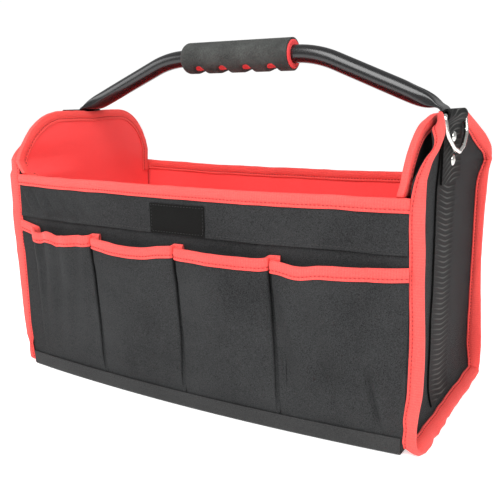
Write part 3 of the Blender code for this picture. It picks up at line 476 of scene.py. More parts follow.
# Pockets: four to a wall, of the same black cloth, each pleated at both sides so that it stands off
# the wall at its mouth and is sewn flat at its foot and between the pleats.
PLEATS = (-0.0912, 0.0047, 0.0960)
PLEAT_LEAN = 0.052
POCKET_TOP = 0.148
POCKET_FOOT = 0.004
POCKET_FOLD = 0.015
POCKET_NOSE = -0.1764
POCKET_END = 0.171
TAPE = 0.0006
BINDING = SEAT_GAP + TAPE
POCKET_LIFT = 2 * SEAT_GAP + TAPE + SEAT_GAP / 3
POCKET_MOUTHS = (
    ((0, 0.0), (0.08, -0.0028), (0.17, -0.0042), (0.24, -0.0028), (0.36, -0.0006), (0.43, -0.0013), (0.5, -0.0038),
     (0.62, -0.0026), (0.8, -0.0015), (1, -0.0003)),
    ((0, -0.0024), (0.16, -0.0032), (0.35, -0.0044), (0.53, -0.0046), (0.7, -0.0038), (0.87, -0.0013), (1, -0.0002)),
    ((0, -0.0016), (0.2, -0.0014), (0.4, -0.0019), (0.85, -0.0018), (0.95, -0.0016), (1, -0.0008)),
    ((0, -0.0032), (0.13, -0.0032), (0.33, -0.0050), (0.57, -0.0027), (1, -0.0017)),
)
FIRST_TAB = ((0, 0.0039), (4, -0.0004), (6, -0.0009), (12, 0.0))
FRONT_STEPS = 48
BEND = 0.0017
WIDE_BEND = 0.010
LAST_STEP = 0.0014


def pleat_at(k, z):
    """Where a pleat's seam is at a height: the seams lean a little, as they were sewn."""
    return PLEATS[k] + (0.080 - z) * PLEAT_LEAN - (0.0038 if k == 1 else 0.0016) * (1 - ease(0.012, 0.075, z))


def bend_corner(before, corner, after, cut):
    """A corner of a folded line as a small curve."""
    a, b = (corner + way.normalized() * min(cut, 0.42 * way.length) for way in (before - corner, after - corner))
    return [a * (1 - t) ** 2 + corner * (2 * t * (1 - t)) + b * t * t for t in (0.0, 0.2, 0.4, 0.6, 0.8, 1.0)]


def pocket_plan(side, number, z):
    """A pocket's line at a height, seen from above: behind the pleat, round its nose, along the front and back
    behind the next pleat. Gives (x, off the wall), share of the front and outward normal of each point."""
    high = ease(POCKET_FOLD, POCKET_TOP, z)
    free = ease(POCKET_FOLD - 0.002, 0.032, z)
    near = SEAT_GAP + (POCKET_LIFT - SEAT_GAP) * ease(0.115, 0.128, z)
    start_edge, end_edge = near + 0.0022 * free + 0.0034 * high, near + 0.0032 * free + 0.0038 * high
    if number == 0:
        line = [(-WALL_END, near), (POCKET_NOSE + 0.0040 * free, near + 0.0002), (POCKET_NOSE, start_edge)]
    else:
        seam = pleat_at(number - 1, z)
        line = [(seam + 0.0024 + 0.0062 * free, near + 0.0034 * free), (seam + 0.0017, start_edge)]
    nose = len(line) - 1
    if number == 3:
        line += [(POCKET_END, start_edge + 0.0008 * free), (WALL_END + (0.0020 if side < 0 else -0.0004), near)]
    else:
        seam = pleat_at(number, z)
        line += [(seam - 0.0017, end_edge), (seam - 0.0030 * free, near + 0.0012 * free),
                 (seam + 0.0002 + 0.0066 * free, near)]
    line = [Vector(p) for p in line]
    cuts = {nose + 1: WIDE_BEND} if number == 3 else {}
    bends = [bend_corner(*line[k - 1:k + 2], cuts.get(k, BEND)) for k in range(1, len(line) - 1)]
    points = [line[0].lerp(bends[0][0], j / 4) for j in range(4)]
    for k, bend in enumerate(bends):
        points += bend
        if k < len(bends) - 1:
            parts = FRONT_STEPS if k + 1 == nose else 2
            points += [bend[-1].lerp(bends[k + 1][0], j / parts) for j in range(1, parts)]
    points += [bends[-1][-1].lerp(line[-1], j / 3) for j in (1, 2, 3)]
    if number == 3:
        coarse, points = points, points[:1]
        for a, b in zip(coarse, coarse[1:]):
            parts = max(1, math.ceil((b.x - a.x) / LAST_STEP)) if a.x > 0.155 else 1
            points += [a.lerp(b, j / parts) for j in range(1, parts + 1)]
    first, last = line[nose].x, line[nose + 1].x
    count = len(points)
    start = 4 + 7 * (nose - 1)
    stop = max(k for k, p in enumerate(points) if p.x < last) if number == 3 else start + 6 + FRONT_STEPS + 4
    filled = []
    for k, p in enumerate(points):
        share = min(max((p.x - first) / (last - first), 0.0), 1.0) if start <= k <= stop else float(k > stop)
        middle = math.sin(math.pi * share)
        inside = ease(0.0, 0.10, share) * ease(0.0, 0.10, 1 - share)
        belly = math.sin(math.pi * min(max((z - 0.012) / 0.14, 0), 1))
        off = p.y + (0.0008 + 0.0036 * high) * free * middle ** 0.7 + 0.0012 * free * middle * belly
        soft = 0.0016 * ripple(p.x * 17, z * 11, side * 4 + number) + 0.0009 * ripple(p.x * 46, z * 13, number)
        off += free * inside * soft
        if number == 0:
            off += 0.0019 * inside * high * math.sin(math.tau * (p.x + 0.176 - 0.12 * (z - 0.148)) / 0.024)
        if number == 3 and side < 0 and start < k < count - 1:
            across = p.x - 0.1768 - (0.0629 - z) * 0.24
            ridge = ease(-0.0024, 0.0006, across) * ease(0.013, 0.001, across)
            off += (0.0040 * ridge - 0.0020 * math.exp(-((across + 0.004) / 0.003) ** 2)) * ease(0.078, 0.052, z) * free
            wrinkle = math.sin(math.tau * (p.x + 0.30 * z) / 0.033)
            off += 0.0020 * inside * ease(0.03, 0.06, z) * ease(0.140, 0.110, z) * wrinkle
        filled.append((Vector((p.x, max(off, near))), share))
    result = []
    for k, (p, share) in enumerate(filled):
        ahead = filled[min(k + 1, count - 1)][0] - filled[max(k - 1, 0)][0]
        result.append((p, share, Vector((-ahead.y, ahead.x)).normalized()))
    return result


def mouth_height(side, number, k, count, share):
    """The height of a pocket's top edge: it sags between the pleats and stands up where it's folded in behind."""
    knots = POCKET_MOUTHS[number]
    rise = through(knots, share) + 0.0003 * ripple(share * 3.1, number * 3.3, side)
    rise += through(FIRST_TAB, k) if number == 0 else (0.0003 - knots[0][1]) * (1 - ease(0.5, 4, k))
    rise += 0.0010 * (1 - ease(0, 16, count - 1 - k)) if number == 3 else 0.0008 * (1 - ease(2, 9, count - 1 - k))
    return POCKET_TOP + rise


pocket_rows = finer([0.0, 0.08, 1.0], 0.028)
pocket_mouths = {}
for side, word in ((-1, "front"), (1, "back")):
    mouth = pocket_mouths[side] = []
    for number in range(4):
        plans = {level: pocket_plan(side, number, POCKET_FOOT + (POCKET_TOP - POCKET_FOOT) * level)
                 for level in pocket_rows}
        count = len(plans[1.0])
        tops = [mouth_height(side, number, k, count, plans[1.0][k][1]) for k in range(count)]
        mouth += [(Vector((p.x, wall_y(p.x) + p.y, z)), normal.to_3d()) for (p, _, normal), z in zip(plans[1.0], tops)]

        def surface(offset, side=side, plans=plans, tops=tops):
            def place(k, level):
                p, _, normal = plans[level][k]
                z = POCKET_FOOT + (tops[k] - POCKET_FOOT) * level
                return Vector((p.x + normal.x * offset, side * (wall_y(p.x) + p.y + normal.y * offset), z))
            return place

        pocket = cut_sheet(list(range(count)), pocket_rows, surface(CLOTH), surface(0))
        piece = put(f"{word}_pocket_cloth_{number + 1}", pocket, black_cloth, [f"{word}_pocket_{number + 1}"], 60)

# Red binding tape: a ribbed woven tape folded over every raw edge and sewn through, so that it is
# pressed in along its stitches and puffs out on both sides of them. The first lengths: pocket mouths
# and the tops of the long walls. Black rows hold the hanging width's hem and the base band.
TAPE_WIDTH = 0.0105
TAPE_PUFF = 0.00045
STITCH_IN = 0.0026
STITCH_PITCH = 0.0034
STITCH_LENGTH = 0.0022
RED_STITCH = 0.00042
BLACK_STITCH = 0.00026
# The tape's ribs are colour stripes of painted shade, 2.1 mm apart.
red_tape = woven("red_binding_tape", "red_tape", (0.72, 0.042, 0.038), (0.95, 0.108, 0.094), 0.0006, (0.58, 0.76), 0.15,
                 0.00025, rib=0.8, painted_rib_shade_pitch=0.0021)
red_thread, black_thread = Finish("red_thread", "red_tape"), Finish("black_thread", "black_cloth")
for thread, dark, light, rough in (
    (red_thread, (0.24, 0.006, 0.008), (0.42, 0.018, 0.018), 0.6),
    (black_thread, (0.003, 0.003, 0.003), (0.012, 0.012, 0.012), 0.55),
):
    thread.surface(thread.shades(thread.cloudy(1400.0, 2.0), 0.3, dark, 0.7, light), rough)


def tape_profile(inner, outer, cap, foot, stitch, puff):
    """The folded tape's section as (across, along) points: out over the face, round the edge and down the back.
    It's pressed in at the stitch line, and its two long edges are turned in a little."""
    face = [foot, foot + 0.0005, foot + (stitch - foot) * 0.45, stitch - 0.0006, stitch, stitch + 0.0006,
            stitch + (cap - stitch) * 0.35, stitch + (cap - stitch) * 0.75]
    swell = [0.0, 0.5, 0.9, 0.1, -0.6, 0.1, 1.2, 1.0]
    section = [(outer + BINDING + puff * s, a) for a, s in zip(face, swell)]
    middle, half = (outer + inner) / 2, (outer - inner) / 2 + BINDING
    for turn in arc(0, math.pi, 8)[1:-1]:
        section.append((middle + half * math.cos(turn), cap + BINDING * (0.1 + 0.9 * math.sin(turn) ** 0.7)))
    section += [(inner - BINDING - puff * s, a) for a, s in zip(reversed(face), reversed(swell))]
    inner, outer = inner - SEAT_GAP, outer + SEAT_GAP
    return section + [(inner, foot), (inner, cap + SEAT_GAP), (outer, cap + SEAT_GAP), (outer, foot)]


def run_tape(rings, settle=give):
    """A length of tape through rings of points: a loop of edges extruded from ring to ring, and capped."""
    mesh = bmesh.new()
    verts = [mesh.verts.new(settle(p)) for p in rings[0]]
    count = len(verts)
    for k in range(count):
        mesh.edges.new((verts[k], verts[(k + 1) % count]))
    mesh.faces.new(verts)
    uv = mesh.loops.layers.uv.new("cloth_map")
    walk = [0.0]
    for a, b in zip(rings[0], rings[0][1:] + rings[0][:1]):
        walk.append(walk[-1] + (b - a).length)
    spots = {vert: (0.0, k) for k, vert in enumerate(verts)}
    run = 0.0
    for before, ring in zip(rings, rings[1:]):
        run += sum((a - b).length for a, b in zip(before, ring)) / count
        edges = [mesh.edges.get((verts[k], verts[(k + 1) % count])) for k in range(count)]
        grown = bmesh.ops.extrude_edge_only(mesh, edges=edges)["geom"]
        mates = {}
        for vert in (item for item in grown if isinstance(item, bmesh.types.BMVert)):
            for edge in vert.link_edges:
                other = edge.other_vert(vert)
                if other in spots:
                    mates[other] = vert
        verts = [mates[vert] for vert in verts]
        for k, vert in enumerate(verts):
            vert.co = settle(ring[k])
            spots[vert] = (run, k)
    mesh.faces.new(verts)
    for face in mesh.faces:
        ks = [spots[loop.vert][1] for loop in face.loops]
        wraps = len(face.loops) == 4 and max(ks) - min(ks) > 1
        for loop in face.loops:
            along, k = spots[loop.vert]
            loop[uv].uv = (along, walk[count if wraps and k == 0 else k])
    return mesh


def sew(name, line, facing, finish, thick=RED_STITCH, length=STITCH_LENGTH, pitch=STITCH_PITCH, settle=give):
    """A row of stitches along a line of points, each a short thread lying on the cloth and dipping in at its ends.
    The way out of the cloth is one vector, or one for each point."""
    mesh = bmesh.new()
    points = [settle(p) for p in line]
    ways = [facing] * len(line) if isinstance(facing, Vector) else facing
    walked, target = 0.0, pitch / 2
    for k, (a, b) in enumerate(zip(points, points[1:])):
        step = (b - a).length
        while step > 0 and walked + step >= target:
            share = (target - walked) / step
            ahead = (b - a).normalized()
            out = ways[k] * (1 - share) + ways[k + 1] * share
            out = (out - ahead * out.dot(ahead)).normalized()
            lie = placed(ahead * (length / 2), out.cross(ahead) * thick, out * thick, a + (b - a) * share)
            bmesh.ops.create_uvsphere(mesh, u_segments=6, v_segments=4, radius=1.0,
                                      matrix=lie @ Matrix.Rotation(math.pi / 2, 4, "Y"))
            target += pitch
        walked += step
    return put(name, mesh, finish, crease=180)


def bind(name, node, rings, rows, settle=give):
    """A length of red tape with its rows of stitches, each row a name, its points and its ways out."""
    piece = put(name, run_tape(rings, settle), red_tape, [node], 40)
    return piece, [sew(*row, red_thread, settle=settle) for row in rows]


for side, word in ((-1, "front"), (1, "back")):
    out = Vector((0, side, 0))
    edge = WALL_HEIGHT + BINDING - TAPE_WIDTH
    stitch = edge + STITCH_IN
    rings, rows_out, rows_in = [], [], []
    for x in finer([-0.1994, -0.1977, 0.1977, 0.1994], 0.0028):
        foot = edge + 0.0005 * ripple(x * 45, side, 3.0)
        puff = TAPE_PUFF + 0.00030 * ripple(x * 110, side, 9.0)
        cap = WALL_HEIGHT + 0.0004 * ripple(x * 60, side, 6.0)
        inside = -WALL_STACK if abs(x) < 0.1978 else -0.0002
        section = tape_profile(inside, SEAT_GAP + CLOTH, cap, foot, stitch, puff)
        rings.append([Vector((x, side * (wall_y(x) + across), z)) for across, z in section])
        rows_out.append(Vector((x, side * (wall_y(x) + SEAT_GAP + CLOTH + BINDING), stitch)))
        rows_in.append(Vector((x, side * (wall_y(x) - WALL_STACK - BINDING), stitch)))
    rows = ((word + "_top_stitches_outside", rows_out, out), (word + "_top_stitches_inside", rows_in, -out))
    piece, sewn = bind(word + "_top_tape", word + "_top_binding", rings, rows)
    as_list(sewn)

    rings, row, facing = [], [], []
    for point, normal in pocket_mouths[side]:
        x = point.x
        foot = BINDING - TAPE_WIDTH + 0.0006 * ripple(x * 50, side * 2, 1.0)
        puff = 0.0004 + 0.0003 * ripple(x * 120, side, 5.0)
        section = tape_profile(0, CLOTH, 0.0003 * ripple(x * 80, side, 2.0), foot, foot + STITCH_IN, puff)
        section.append((CLOTH + BINDING, foot + STITCH_IN))
        ring = [point + normal * across + Vector((0, 0, along)) for across, along in section]
        *ring, on_row = (Vector((p.x, side * p.y, p.z)) for p in ring)
        rings.append(ring)
        row.append(on_row)
        facing.append(Vector((normal.x, side * normal.y, 0)))
    rows = ((word + "_pocket_stitches", row, facing),)
    piece, sewn = bind(word + "_pocket_tape", word + "_pocket_binding", rings, rows)
    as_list(sewn)
    for name, off, z in (("_band_stitches", SEAT_GAP + 0.0004, SEAM_HEIGHT + STITCH_IN),
                         ("_base_stitches", 2 * SEAT_GAP + BASE_CLOTH, BAND_HEIGHT - 0.0022)):
        row_ends = [-WALL_END + 0.002, WALL_END - 0.002]
        line = [Vector((x, side * (wall_y(x) + CLOTH + off), z)) for x in finer(row_ends, 0.004)]
        sew(word + name, line, out, black_thread, BLACK_STITCH)

# Label patch: a bare piece of close-woven dark cloth, sewn down all round near its edge.
LABEL_LENGTH = 0.057
LABEL_HEIGHT = 0.026
LABEL_SHIFT = 0.002
LABEL_RISE = 0.0004
LABEL_STITCH_IN = 0.0016
LABEL_STITCH = 0.00024
LABEL_LEFT, LABEL_RIGHT = LABEL_SHIFT - LABEL_LENGTH / 2, LABEL_SHIFT + LABEL_LENGTH / 2
LABEL_TOP = SEAM_HEIGHT + LABEL_HEIGHT
LABEL_NEAR = CLOTH + 2 * SEAT_GAP
patch_cloth = woven("patch_cloth", "label_cloth", (0.002, 0.002, 0.002), (0.009, 0.009, 0.0085), 0.0003,
                    (0.5, 0.65), 0.0, 0.00005, rib=2.0, specular=0.06)


def patch_face(offset):
    def place(x, z):
        edge = min(x - LABEL_LEFT, LABEL_RIGHT - x, z - SEAM_HEIGHT, LABEL_TOP - z)
        puff = 0.0005 * ease(0.0016, 0.005, edge) + 0.0002 * (1 - ease(0, 0.0012, edge))
        return Vector((x, -(wall_y(x) + LABEL_NEAR + offset + puff), z + LABEL_RISE))
    return place


patch = cut_sheet(
    finer([LABEL_LEFT, LABEL_LEFT + 0.006, LABEL_RIGHT - 0.006, LABEL_RIGHT], 0.0012),
    finer([SEAM_HEIGHT, SEAM_HEIGHT + 0.006, LABEL_TOP - 0.006, LABEL_TOP], 0.0012), patch_face(LINING), patch_face(0),
)
piece = put("label_patch_cloth", patch, patch_cloth, ["label_patch"])
left, right_side = LABEL_LEFT + LABEL_STITCH_IN, LABEL_RIGHT - LABEL_STITCH_IN
lower, upper = SEAM_HEIGHT + LABEL_STITCH_IN, LABEL_TOP - LABEL_STITCH_IN
corners = [(left, lower), (right_side, lower), (right_side, upper), (left, upper), (left, lower)]
around = []
for (xa, za), (xb, zb) in zip(corners, corners[1:]):
    for k in range(12):
        x, z = xa + (xb - xa) * k / 12, za + (zb - za) * k / 12
        around.append(Vector((x, -(wall_y(x) + LABEL_NEAR + LINING + 0.0001), z + LABEL_RISE)))
around.append(around[0].copy())
row = sew("label_stitches", around, Vector((0, -1, 0)), black_thread, LABEL_STITCH, 0.0019, 0.0030)

# Outer end panels: black cloth, kept up by its own stiffness. Its edge stands out square along the
# sides, leans back over the shoulders and is folded under at the foot. Use has bent the right one.
END_CLOTH = 0.0012
END_FACE = 0.199
END_DISH = 0.001
END_FLAT = 0.030
END_HALF_WIDTH = 0.0934
END_SHOULDER = 0.212
END_TOP = 0.258
CROWN_HALF_WIDTH = 0.0285
CROWN_SPREAD = 1.088
SLOPE_POWER = 1.6
FRONT_TIPS = (
    (0, 0.0012), (0.02, 0.0020), (0.21, 0.0068), (0.37, 0.0103), (0.48, 0.0115), (0.67, 0.0110), (0.8, 0.0093),
    (0.95, 0.0092), (1.2, 0.0088), (1.9, 0.0089), (2.3, 0.0099), (2.9, 0.0106), (3.7, 0.0123), (4.1, 0.0130),
    (4.7, 0.0132), (5.05, 0.0127), (5.3, 0.0112), (5.55, 0.0098),
)
FRONT_ROOTS = (
    (0, 0), (0.3, 0.0004), (0.37, 0.0013), (0.48, 0.0040), (0.57, 0.0066), (0.67, 0.0077), (0.79, 0.0048),
    (0.95, 0.0022), (1.15, 0.0003), (1.3, 0), (1.9, 0.0001), (2.3, 0.0011), (2.9, 0.0018), (3.7, 0.0034),
    (4.1, 0.0040), (4.7, 0.0038), (5.05, 0.0034), (5.3, 0.0022), (5.55, 0.0008),
)
REAR_TIPS = (
    (0, 0.0017), (0.25, 0.0040), (0.5, 0.0084), (0.72, 0.0130), (0.82, 0.0141), (1.0, 0.0128), (1.3, 0.0104),
    (1.6, 0.0094), (2.0, 0.0092), (2.7, 0.0084), (3.5, 0.0084), (4.4, 0.0104), (5.0, 0.0120), (5.6, 0.0130),
    (9, 0.0130),
)
REAR_ROOTS = (
    (0, 0), (0.55, 0.0004), (0.75, 0.0040), (0.86, 0.0068), (1.0, 0.0066), (1.17, 0.0047), (1.37, 0.0018),
    (1.55, 0.0005), (1.8, 0), (9, 0),
)
SLOPE_SHARES = finer([0.995, 0.93, 0.57, 0.372], 0.013)
CALM_SHARE = 0.37
FIN_LEAN = 10.0
FIN_TURN = 80.0
FRONT_TURN = 75.0
REAR_DROP = 0.38
CENTRE_TOP = 0.2455
STRAP_EDGE = 0.0295
FLARE_HEIGHT = 0.035
FLARE = 0.0047
FOLD_HEIGHT = 0.0105
FOLD_ANGLE = 62.0
FOLD_TWIST = 9.0
FOLD_OUT = 0.0050
CORNER_WIDTH = 0.086
FRONT_CORNER_WIDTH = 0.0845
FOLD_TAPE_INSET = 0.0010
TIP_INSET = 0.0008
FACE_KNOTS = 14
SEAM_STACK = END_CLOTH + SEAT_GAP + CLOTH
OUTWARD = Vector((1, 0, 0))


def flare(z):
    """How far the foot of an end panel stands out, as a share."""
    return max((FLARE_HEIGHT - z) / (FLARE_HEIGHT - FOLD_HEIGHT), 0.0) ** 2


def root_x(z):
    return END_FACE + END_DISH + (FLARE - END_DISH) * flare(z)


def station(root, out, turn, reach, stack, inset=0.0):
    """One place along the edge: where the fin starts, the way it stands out, the way its thickness runs."""
    return {"root": root, "out": out, "turn": turn, "reach": reach, "stack": stack, "inset": inset}


def swell(end, half, place, angle):
    """How far the edge's root and its tip stand out at a place on the slope (0 to 1) or on the side below it (over 1).
    The right end's edge was pushed about in use: it swells out under the front slope and at the rear shoulder."""
    if end < 0:
        plain = 0.0055 * math.sin(math.pi * min(place, 1.0) ** 0.8)
        return plain, plain + FIN_REACH * math.sin(angle)
    roots, tips = (FRONT_ROOTS, FRONT_TIPS) if half < 0 else (REAR_ROOTS, REAR_TIPS)
    return through(roots, place), through(tips, place)


def slope_stations(end, half):
    line = []
    rise, wide = END_TOP - END_SHOULDER, END_HALF_WIDTH - CROWN_HALF_WIDTH
    for share in reversed(SLOPE_SHARES):
        y = share * END_HALF_WIDTH
        run = max(y - CROWN_HALF_WIDTH, 0.0) / wide
        away = Vector((0, -rise * SLOPE_POWER * run ** (SLOPE_POWER - 1) / wide, 1)).normalized()
        place = max((share - CALM_SHARE) / (1.0 - CALM_SHARE), 0.0)
        lean = min(max((share - CALM_SHARE) / 0.12, 0.0), 1.0) * FIN_LEAN
        turned = FRONT_TURN * ease(0.0, 0.52, place) if end > 0 and half < 0 else FIN_TURN * share ** 6
        angle = math.radians(lean + turned)
        at_root, at_tip = swell(end, half, place, angle)
        edge = Vector((END_FACE + END_DISH, -y, END_SHOULDER + rise * (1.0 - run ** SLOPE_POWER)))
        drop = 1.0 - REAR_DROP * ease(0.25, 0.6, place) * (end > 0 and half > 0)
        root = edge - away * (FIN_REACH * math.cos(angle) * drop) + OUTWARD * at_root
        tip = edge + OUTWARD * at_tip
        out = (tip - root).normalized()
        turn = away * out.x - OUTWARD * out.dot(away)
        line.append(station(root, out, turn.normalized(), (tip - root).length, END_CLOTH))
    return line


def side_stations(end, half):
    line = []
    for z in reversed(finer([0.030, 0.105, WALL_HEIGHT, END_SHOULDER], 0.006)):
        stack = END_CLOTH + (SEAT_GAP + CLOTH) * (1 - ease(WALL_HEIGHT - 0.001, WALL_HEIGHT + 0.003, z))
        at_root, at_tip = swell(end, half, 1.0 + (END_SHOULDER - z) / 0.04, math.pi / 2)
        root = Vector((root_x(z) + at_root, -END_HALF_WIDTH, z))
        if end < 0:
            at_tip += 0.0022 * ease(0.203, 0.198, z) * ease(0.06, 0.14, z) - 0.0009 * ease(0.12, 0.05, z)
        wide = 0.0015 * ease(0.208, 0.190, z) if half < 0 else 0.0
        line.append(station(root, OUTWARD, Vector((0, -1, 0)), at_tip - at_root, stack, -wide / 0.85))
    return line


def fold_station(half, width):
    """A place on the folded foot: the fold is pressed flatter at the front than at the back."""
    angle = math.radians(FOLD_ANGLE + FOLD_TWIST * half * width / CORNER_WIDTH)
    out = Vector((math.sin(angle), 0, -math.cos(angle)))
    turn = Vector((-math.cos(angle), 0, -math.sin(angle)))
    x = END_FACE + FLARE
    reach = (HALF_LENGTH + FIN_REACH + FOLD_OUT - x) / out.x
    return station(Vector((x, -width, FOLD_HEIGHT)), out, turn, reach, SEAM_STACK, FOLD_TAPE_INSET)


def foot_stations(end, half):
    """Round the lower corner and in along the folded foot to the middle. The front corner is trodden down.
    A bend has its height, half width, shares of the turn under and of the fold, and place of its root."""
    fold = END_FACE + FLARE
    if half < 0:
        bends = ((0.0220, 0.0942, 0.0, 0.0, 0.2008), (0.0130, 0.0946, 0.12, 0.08, 0.2001),
                 (0.0082, 0.0930, 0.42, 0.28, 0.2006), (0.0076, 0.0905, 0.66, 0.50, 0.2014),
                 (0.0081, 0.0885, 0.80, 0.70, 0.2024), (0.0093, 0.0865, 0.92, 0.86, 0.2032))
    else:
        bends = ((0.0220, 0.0934, 0.0, 0.0, root_x(0.022)), (0.0150, 0.0915, 0.28, 0.2, root_x(0.015)))
        turns = ((0.55, 0.45), (0.68, 0.60), (0.80, 0.75), (0.90, 0.88))
        bends += tuple((FOLD_HEIGHT, CORNER_WIDTH, *shares, fold) for shares in turns)
    line = []
    for z, width, swing, share, x in bends:
        heading = math.radians(90 * swing)
        away = Vector((0, -math.cos(heading), -math.sin(heading)))
        angle = math.radians(90 + (FOLD_ANGLE + FOLD_TWIST * half - 90) * share)
        out = away * math.cos(angle) + OUTWARD * math.sin(angle)
        turn = away * math.sin(angle) - OUTWARD * math.cos(angle)
        more = 0.0034 + 0.0016 * share if half > 0 else FOLD_OUT * share - 0.0032 * (1 - share) * (end < 0)
        reach = (HALF_LENGTH + FIN_REACH + more - x) / out.x
        line.append(station(Vector((x, -width, z)), out, turn, reach, SEAM_STACK, FOLD_TAPE_INSET * share))
    first = CORNER_WIDTH if half > 0 else FRONT_CORNER_WIDTH
    return line + [fold_station(half, -y) for y in finer([-first, 0.0], 0.006)]


def half_rows(end, half):
    """The outer face of one half of the panel, row by row from the fold's free edge to the crown.
    A point comes with the step through the cloth's thickness."""
    crown, sides, feet = slope_stations(end, half), side_stations(end, half), foot_stations(end, half)
    foot, low, first, _, second, _, under = feet[:7]

    def tip(s):
        return s["root"] + s["out"] * (s["reach"] - TIP_INSET), s["turn"]

    def bent(s):
        return s["root"], (s["turn"] - OUTWARD) / (1.0 - s["turn"].dot(OUTWARD))

    def face(y, z, edge):
        across = max((abs(y) - END_FLAT) / (abs(edge.y) - END_FLAT), 0.0) if abs(y) > END_FLAT else 0.0
        base = END_FACE + FLARE * flare(z)
        return Vector((base + (edge.x - base) * min(across, 1.0) ** 2, y, z)), -OUTWARD

    steps = arc(0.0, 1.0, FACE_KNOTS)
    mates = [under] + [fold_station(half, CORNER_WIDTH * (1 - k)) for k in steps[1:]]
    rows = [[tip(s) for s in [second] + mates], [tip(first)] + [bent(s) for s in mates]]
    for index, s in enumerate([low, foot] + sides[::-1] + crown[::-1]):
        root = s["root"]
        level = root.z
        climbed = index - 1 - len(sides)
        if climbed > 0:
            level = END_SHOULDER + (CENTRE_TOP - END_SHOULDER) * climbed / len(crown)
        row = [tip(s), bent(s)]
        for k in steps[1:]:
            share = min(k * abs(root.y) / max(abs(root.y) - STRAP_EDGE, 0.004), 1.0)
            row.append(face(root.y * (1 - k), root.z + (level - root.z) * share, root))
        rows.append(row)
    spread = [CROWN_SPREAD] + [1 - k for k in steps]
    return rows + [[face(-CROWN_HALF_WIDTH * k, END_TOP, crown[0]["root"]) for k in spread]]


def whole(front, rear, flip):
    """Both halves of a row, or of the edge, in one line from front to back."""
    return front + [flip(item) for item in reversed(rear[:-1])]


def flip_point(item):
    return tuple(v * Vector((1, -1, 1)) for v in item)


def flip_station(s):
    return {**s, **{key: s[key] * Vector((1, -1, 1)) for key in ("root", "out", "turn")}}


def at_end(end, p):
    """A point of the right end, or its mirror image at the left end."""
    return Vector((end * p.x, p.y, p.z))


for end, word in ((-1, "left"), (1, "right")):
    end_rows = [whole(a, b, flip_point) for a, b in zip(half_rows(end, -1), half_rows(end, 1))]
    edges = [slope_stations(end, half) + side_stations(end, half) + foot_stations(end, half) for half in (-1, 1)]
    edge_line = whole(*edges, flip_station)

    def surface(depth, end=end, end_rows=end_rows):
        def place(i, j):
            point, step = end_rows[j][i]
            return at_end(end, point + step * depth)
        return place

    panel = cut_sheet(list(range(len(end_rows[0]))), list(range(len(end_rows))), surface(0), surface(END_CLOTH))
    piece = put(word + "_end_cloth", panel, black_cloth, [word + "_outer_end_panel"], 60)
    rings, outside, inside, facing = [], [], [], []
    run = 0.0
    for k, s in enumerate(edge_line):
        root, out, turn = s["root"], s["out"], s["turn"]
        run += 0.0 if k == 0 else (root - edge_line[k - 1]["root"]).length
        wave = 0.0006 * ripple(run * 30, end * 2, 1.5) + 0.0004 * ripple(run * 85, end * 2, 3.5)
        puff = 0.00055 + 0.00035 * ripple(run * 70, end, 7.0)
        foot = 0.0004 + s["inset"] * 0.85 + 0.0003 * ripple(run * 60, end, 4.0)
        stitch = foot + min(0.0021, s["reach"] * 0.35)
        low = ease(0.20, 0.42, abs(out.z)) * (root.z < 0.1)
        slack = low * (0.0020 * ripple(run * 42, end * 3, 8.0) + 0.0011 * ripple(run * 110, end * 3, 2.0))
        section = tape_profile(0, s["stack"], s["reach"] + wave * 0.6 + slack, foot, stitch, puff * (1 + low))
        ring = [root + out * along + turn * (across + wave * min(along / 0.01, 1.0)) for across, along in section]
        rings.append([Vector((end * p.x, p.y, max(p.z, 0.0002 + 0.1 * max(p.z, 0)))) for p in ring])
        seam = root + out * stitch + turn * wave * (stitch / 0.01)
        outside.append(at_end(end, seam + turn * (s["stack"] + BINDING)))
        on_row = at_end(end, seam - turn * BINDING)
        inside.append(Vector((on_row.x, on_row.y, max(on_row.z, 0.0006))))
        facing.append(at_end(end, turn))
    rows = ((word + "_end_stitches_outer", outside, facing),
            (word + "_end_stitches_inner", inside, [-turn for turn in facing]))
    piece, sewn = bind(word + "_end_tape", word + "_outer_end_binding", rings, rows)
    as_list(sewn)

# Inner end panels: boarded, black outside and red inside, with rounded top corners. They stand
# between the walls, and the red tape goes over their edge above the walls.
LEG_THICKNESS = 0.003
LEG_FACE = END_FACE - END_CLOTH - SEAT_GAP
INNER_FACE = 0.1922
INNER_TOP = 0.2566
INNER_SLANT_TOP = 0.2110
INNER_CORNER = 0.055
INNER_CORNER_Y = 0.0415
INNER_TAPE_FOOT = 0.186
INNER_STITCH_IN = 0.0028


def inner_outline():
    """Half of the outline from its foot to the middle of its top, as (y, z)."""
    half = wall_y(INNER_FACE + BINDING) - WALL_STACK - BINDING - SEAT_GAP - BINDING
    start = math.asin((INNER_SLANT_TOP - INNER_TOP + INNER_CORNER) / INNER_CORNER)
    bend = [(INNER_CORNER_Y + INNER_CORNER * math.cos(a), INNER_TOP - INNER_CORNER + INNER_CORNER * math.sin(a))
            for a in arc(start, math.pi / 2, 26)]
    low = finer([FLOOR, INNER_TAPE_FOOT], 0.012) + [INNER_TAPE_FOOT + 0.0035 * k for k in range(1, 5)]
    middle = [(y, INNER_TOP) for y in finer([INNER_CORNER_Y, 0.0], 0.004)[1:]]
    return [(half, z) for z in low] + bend + middle


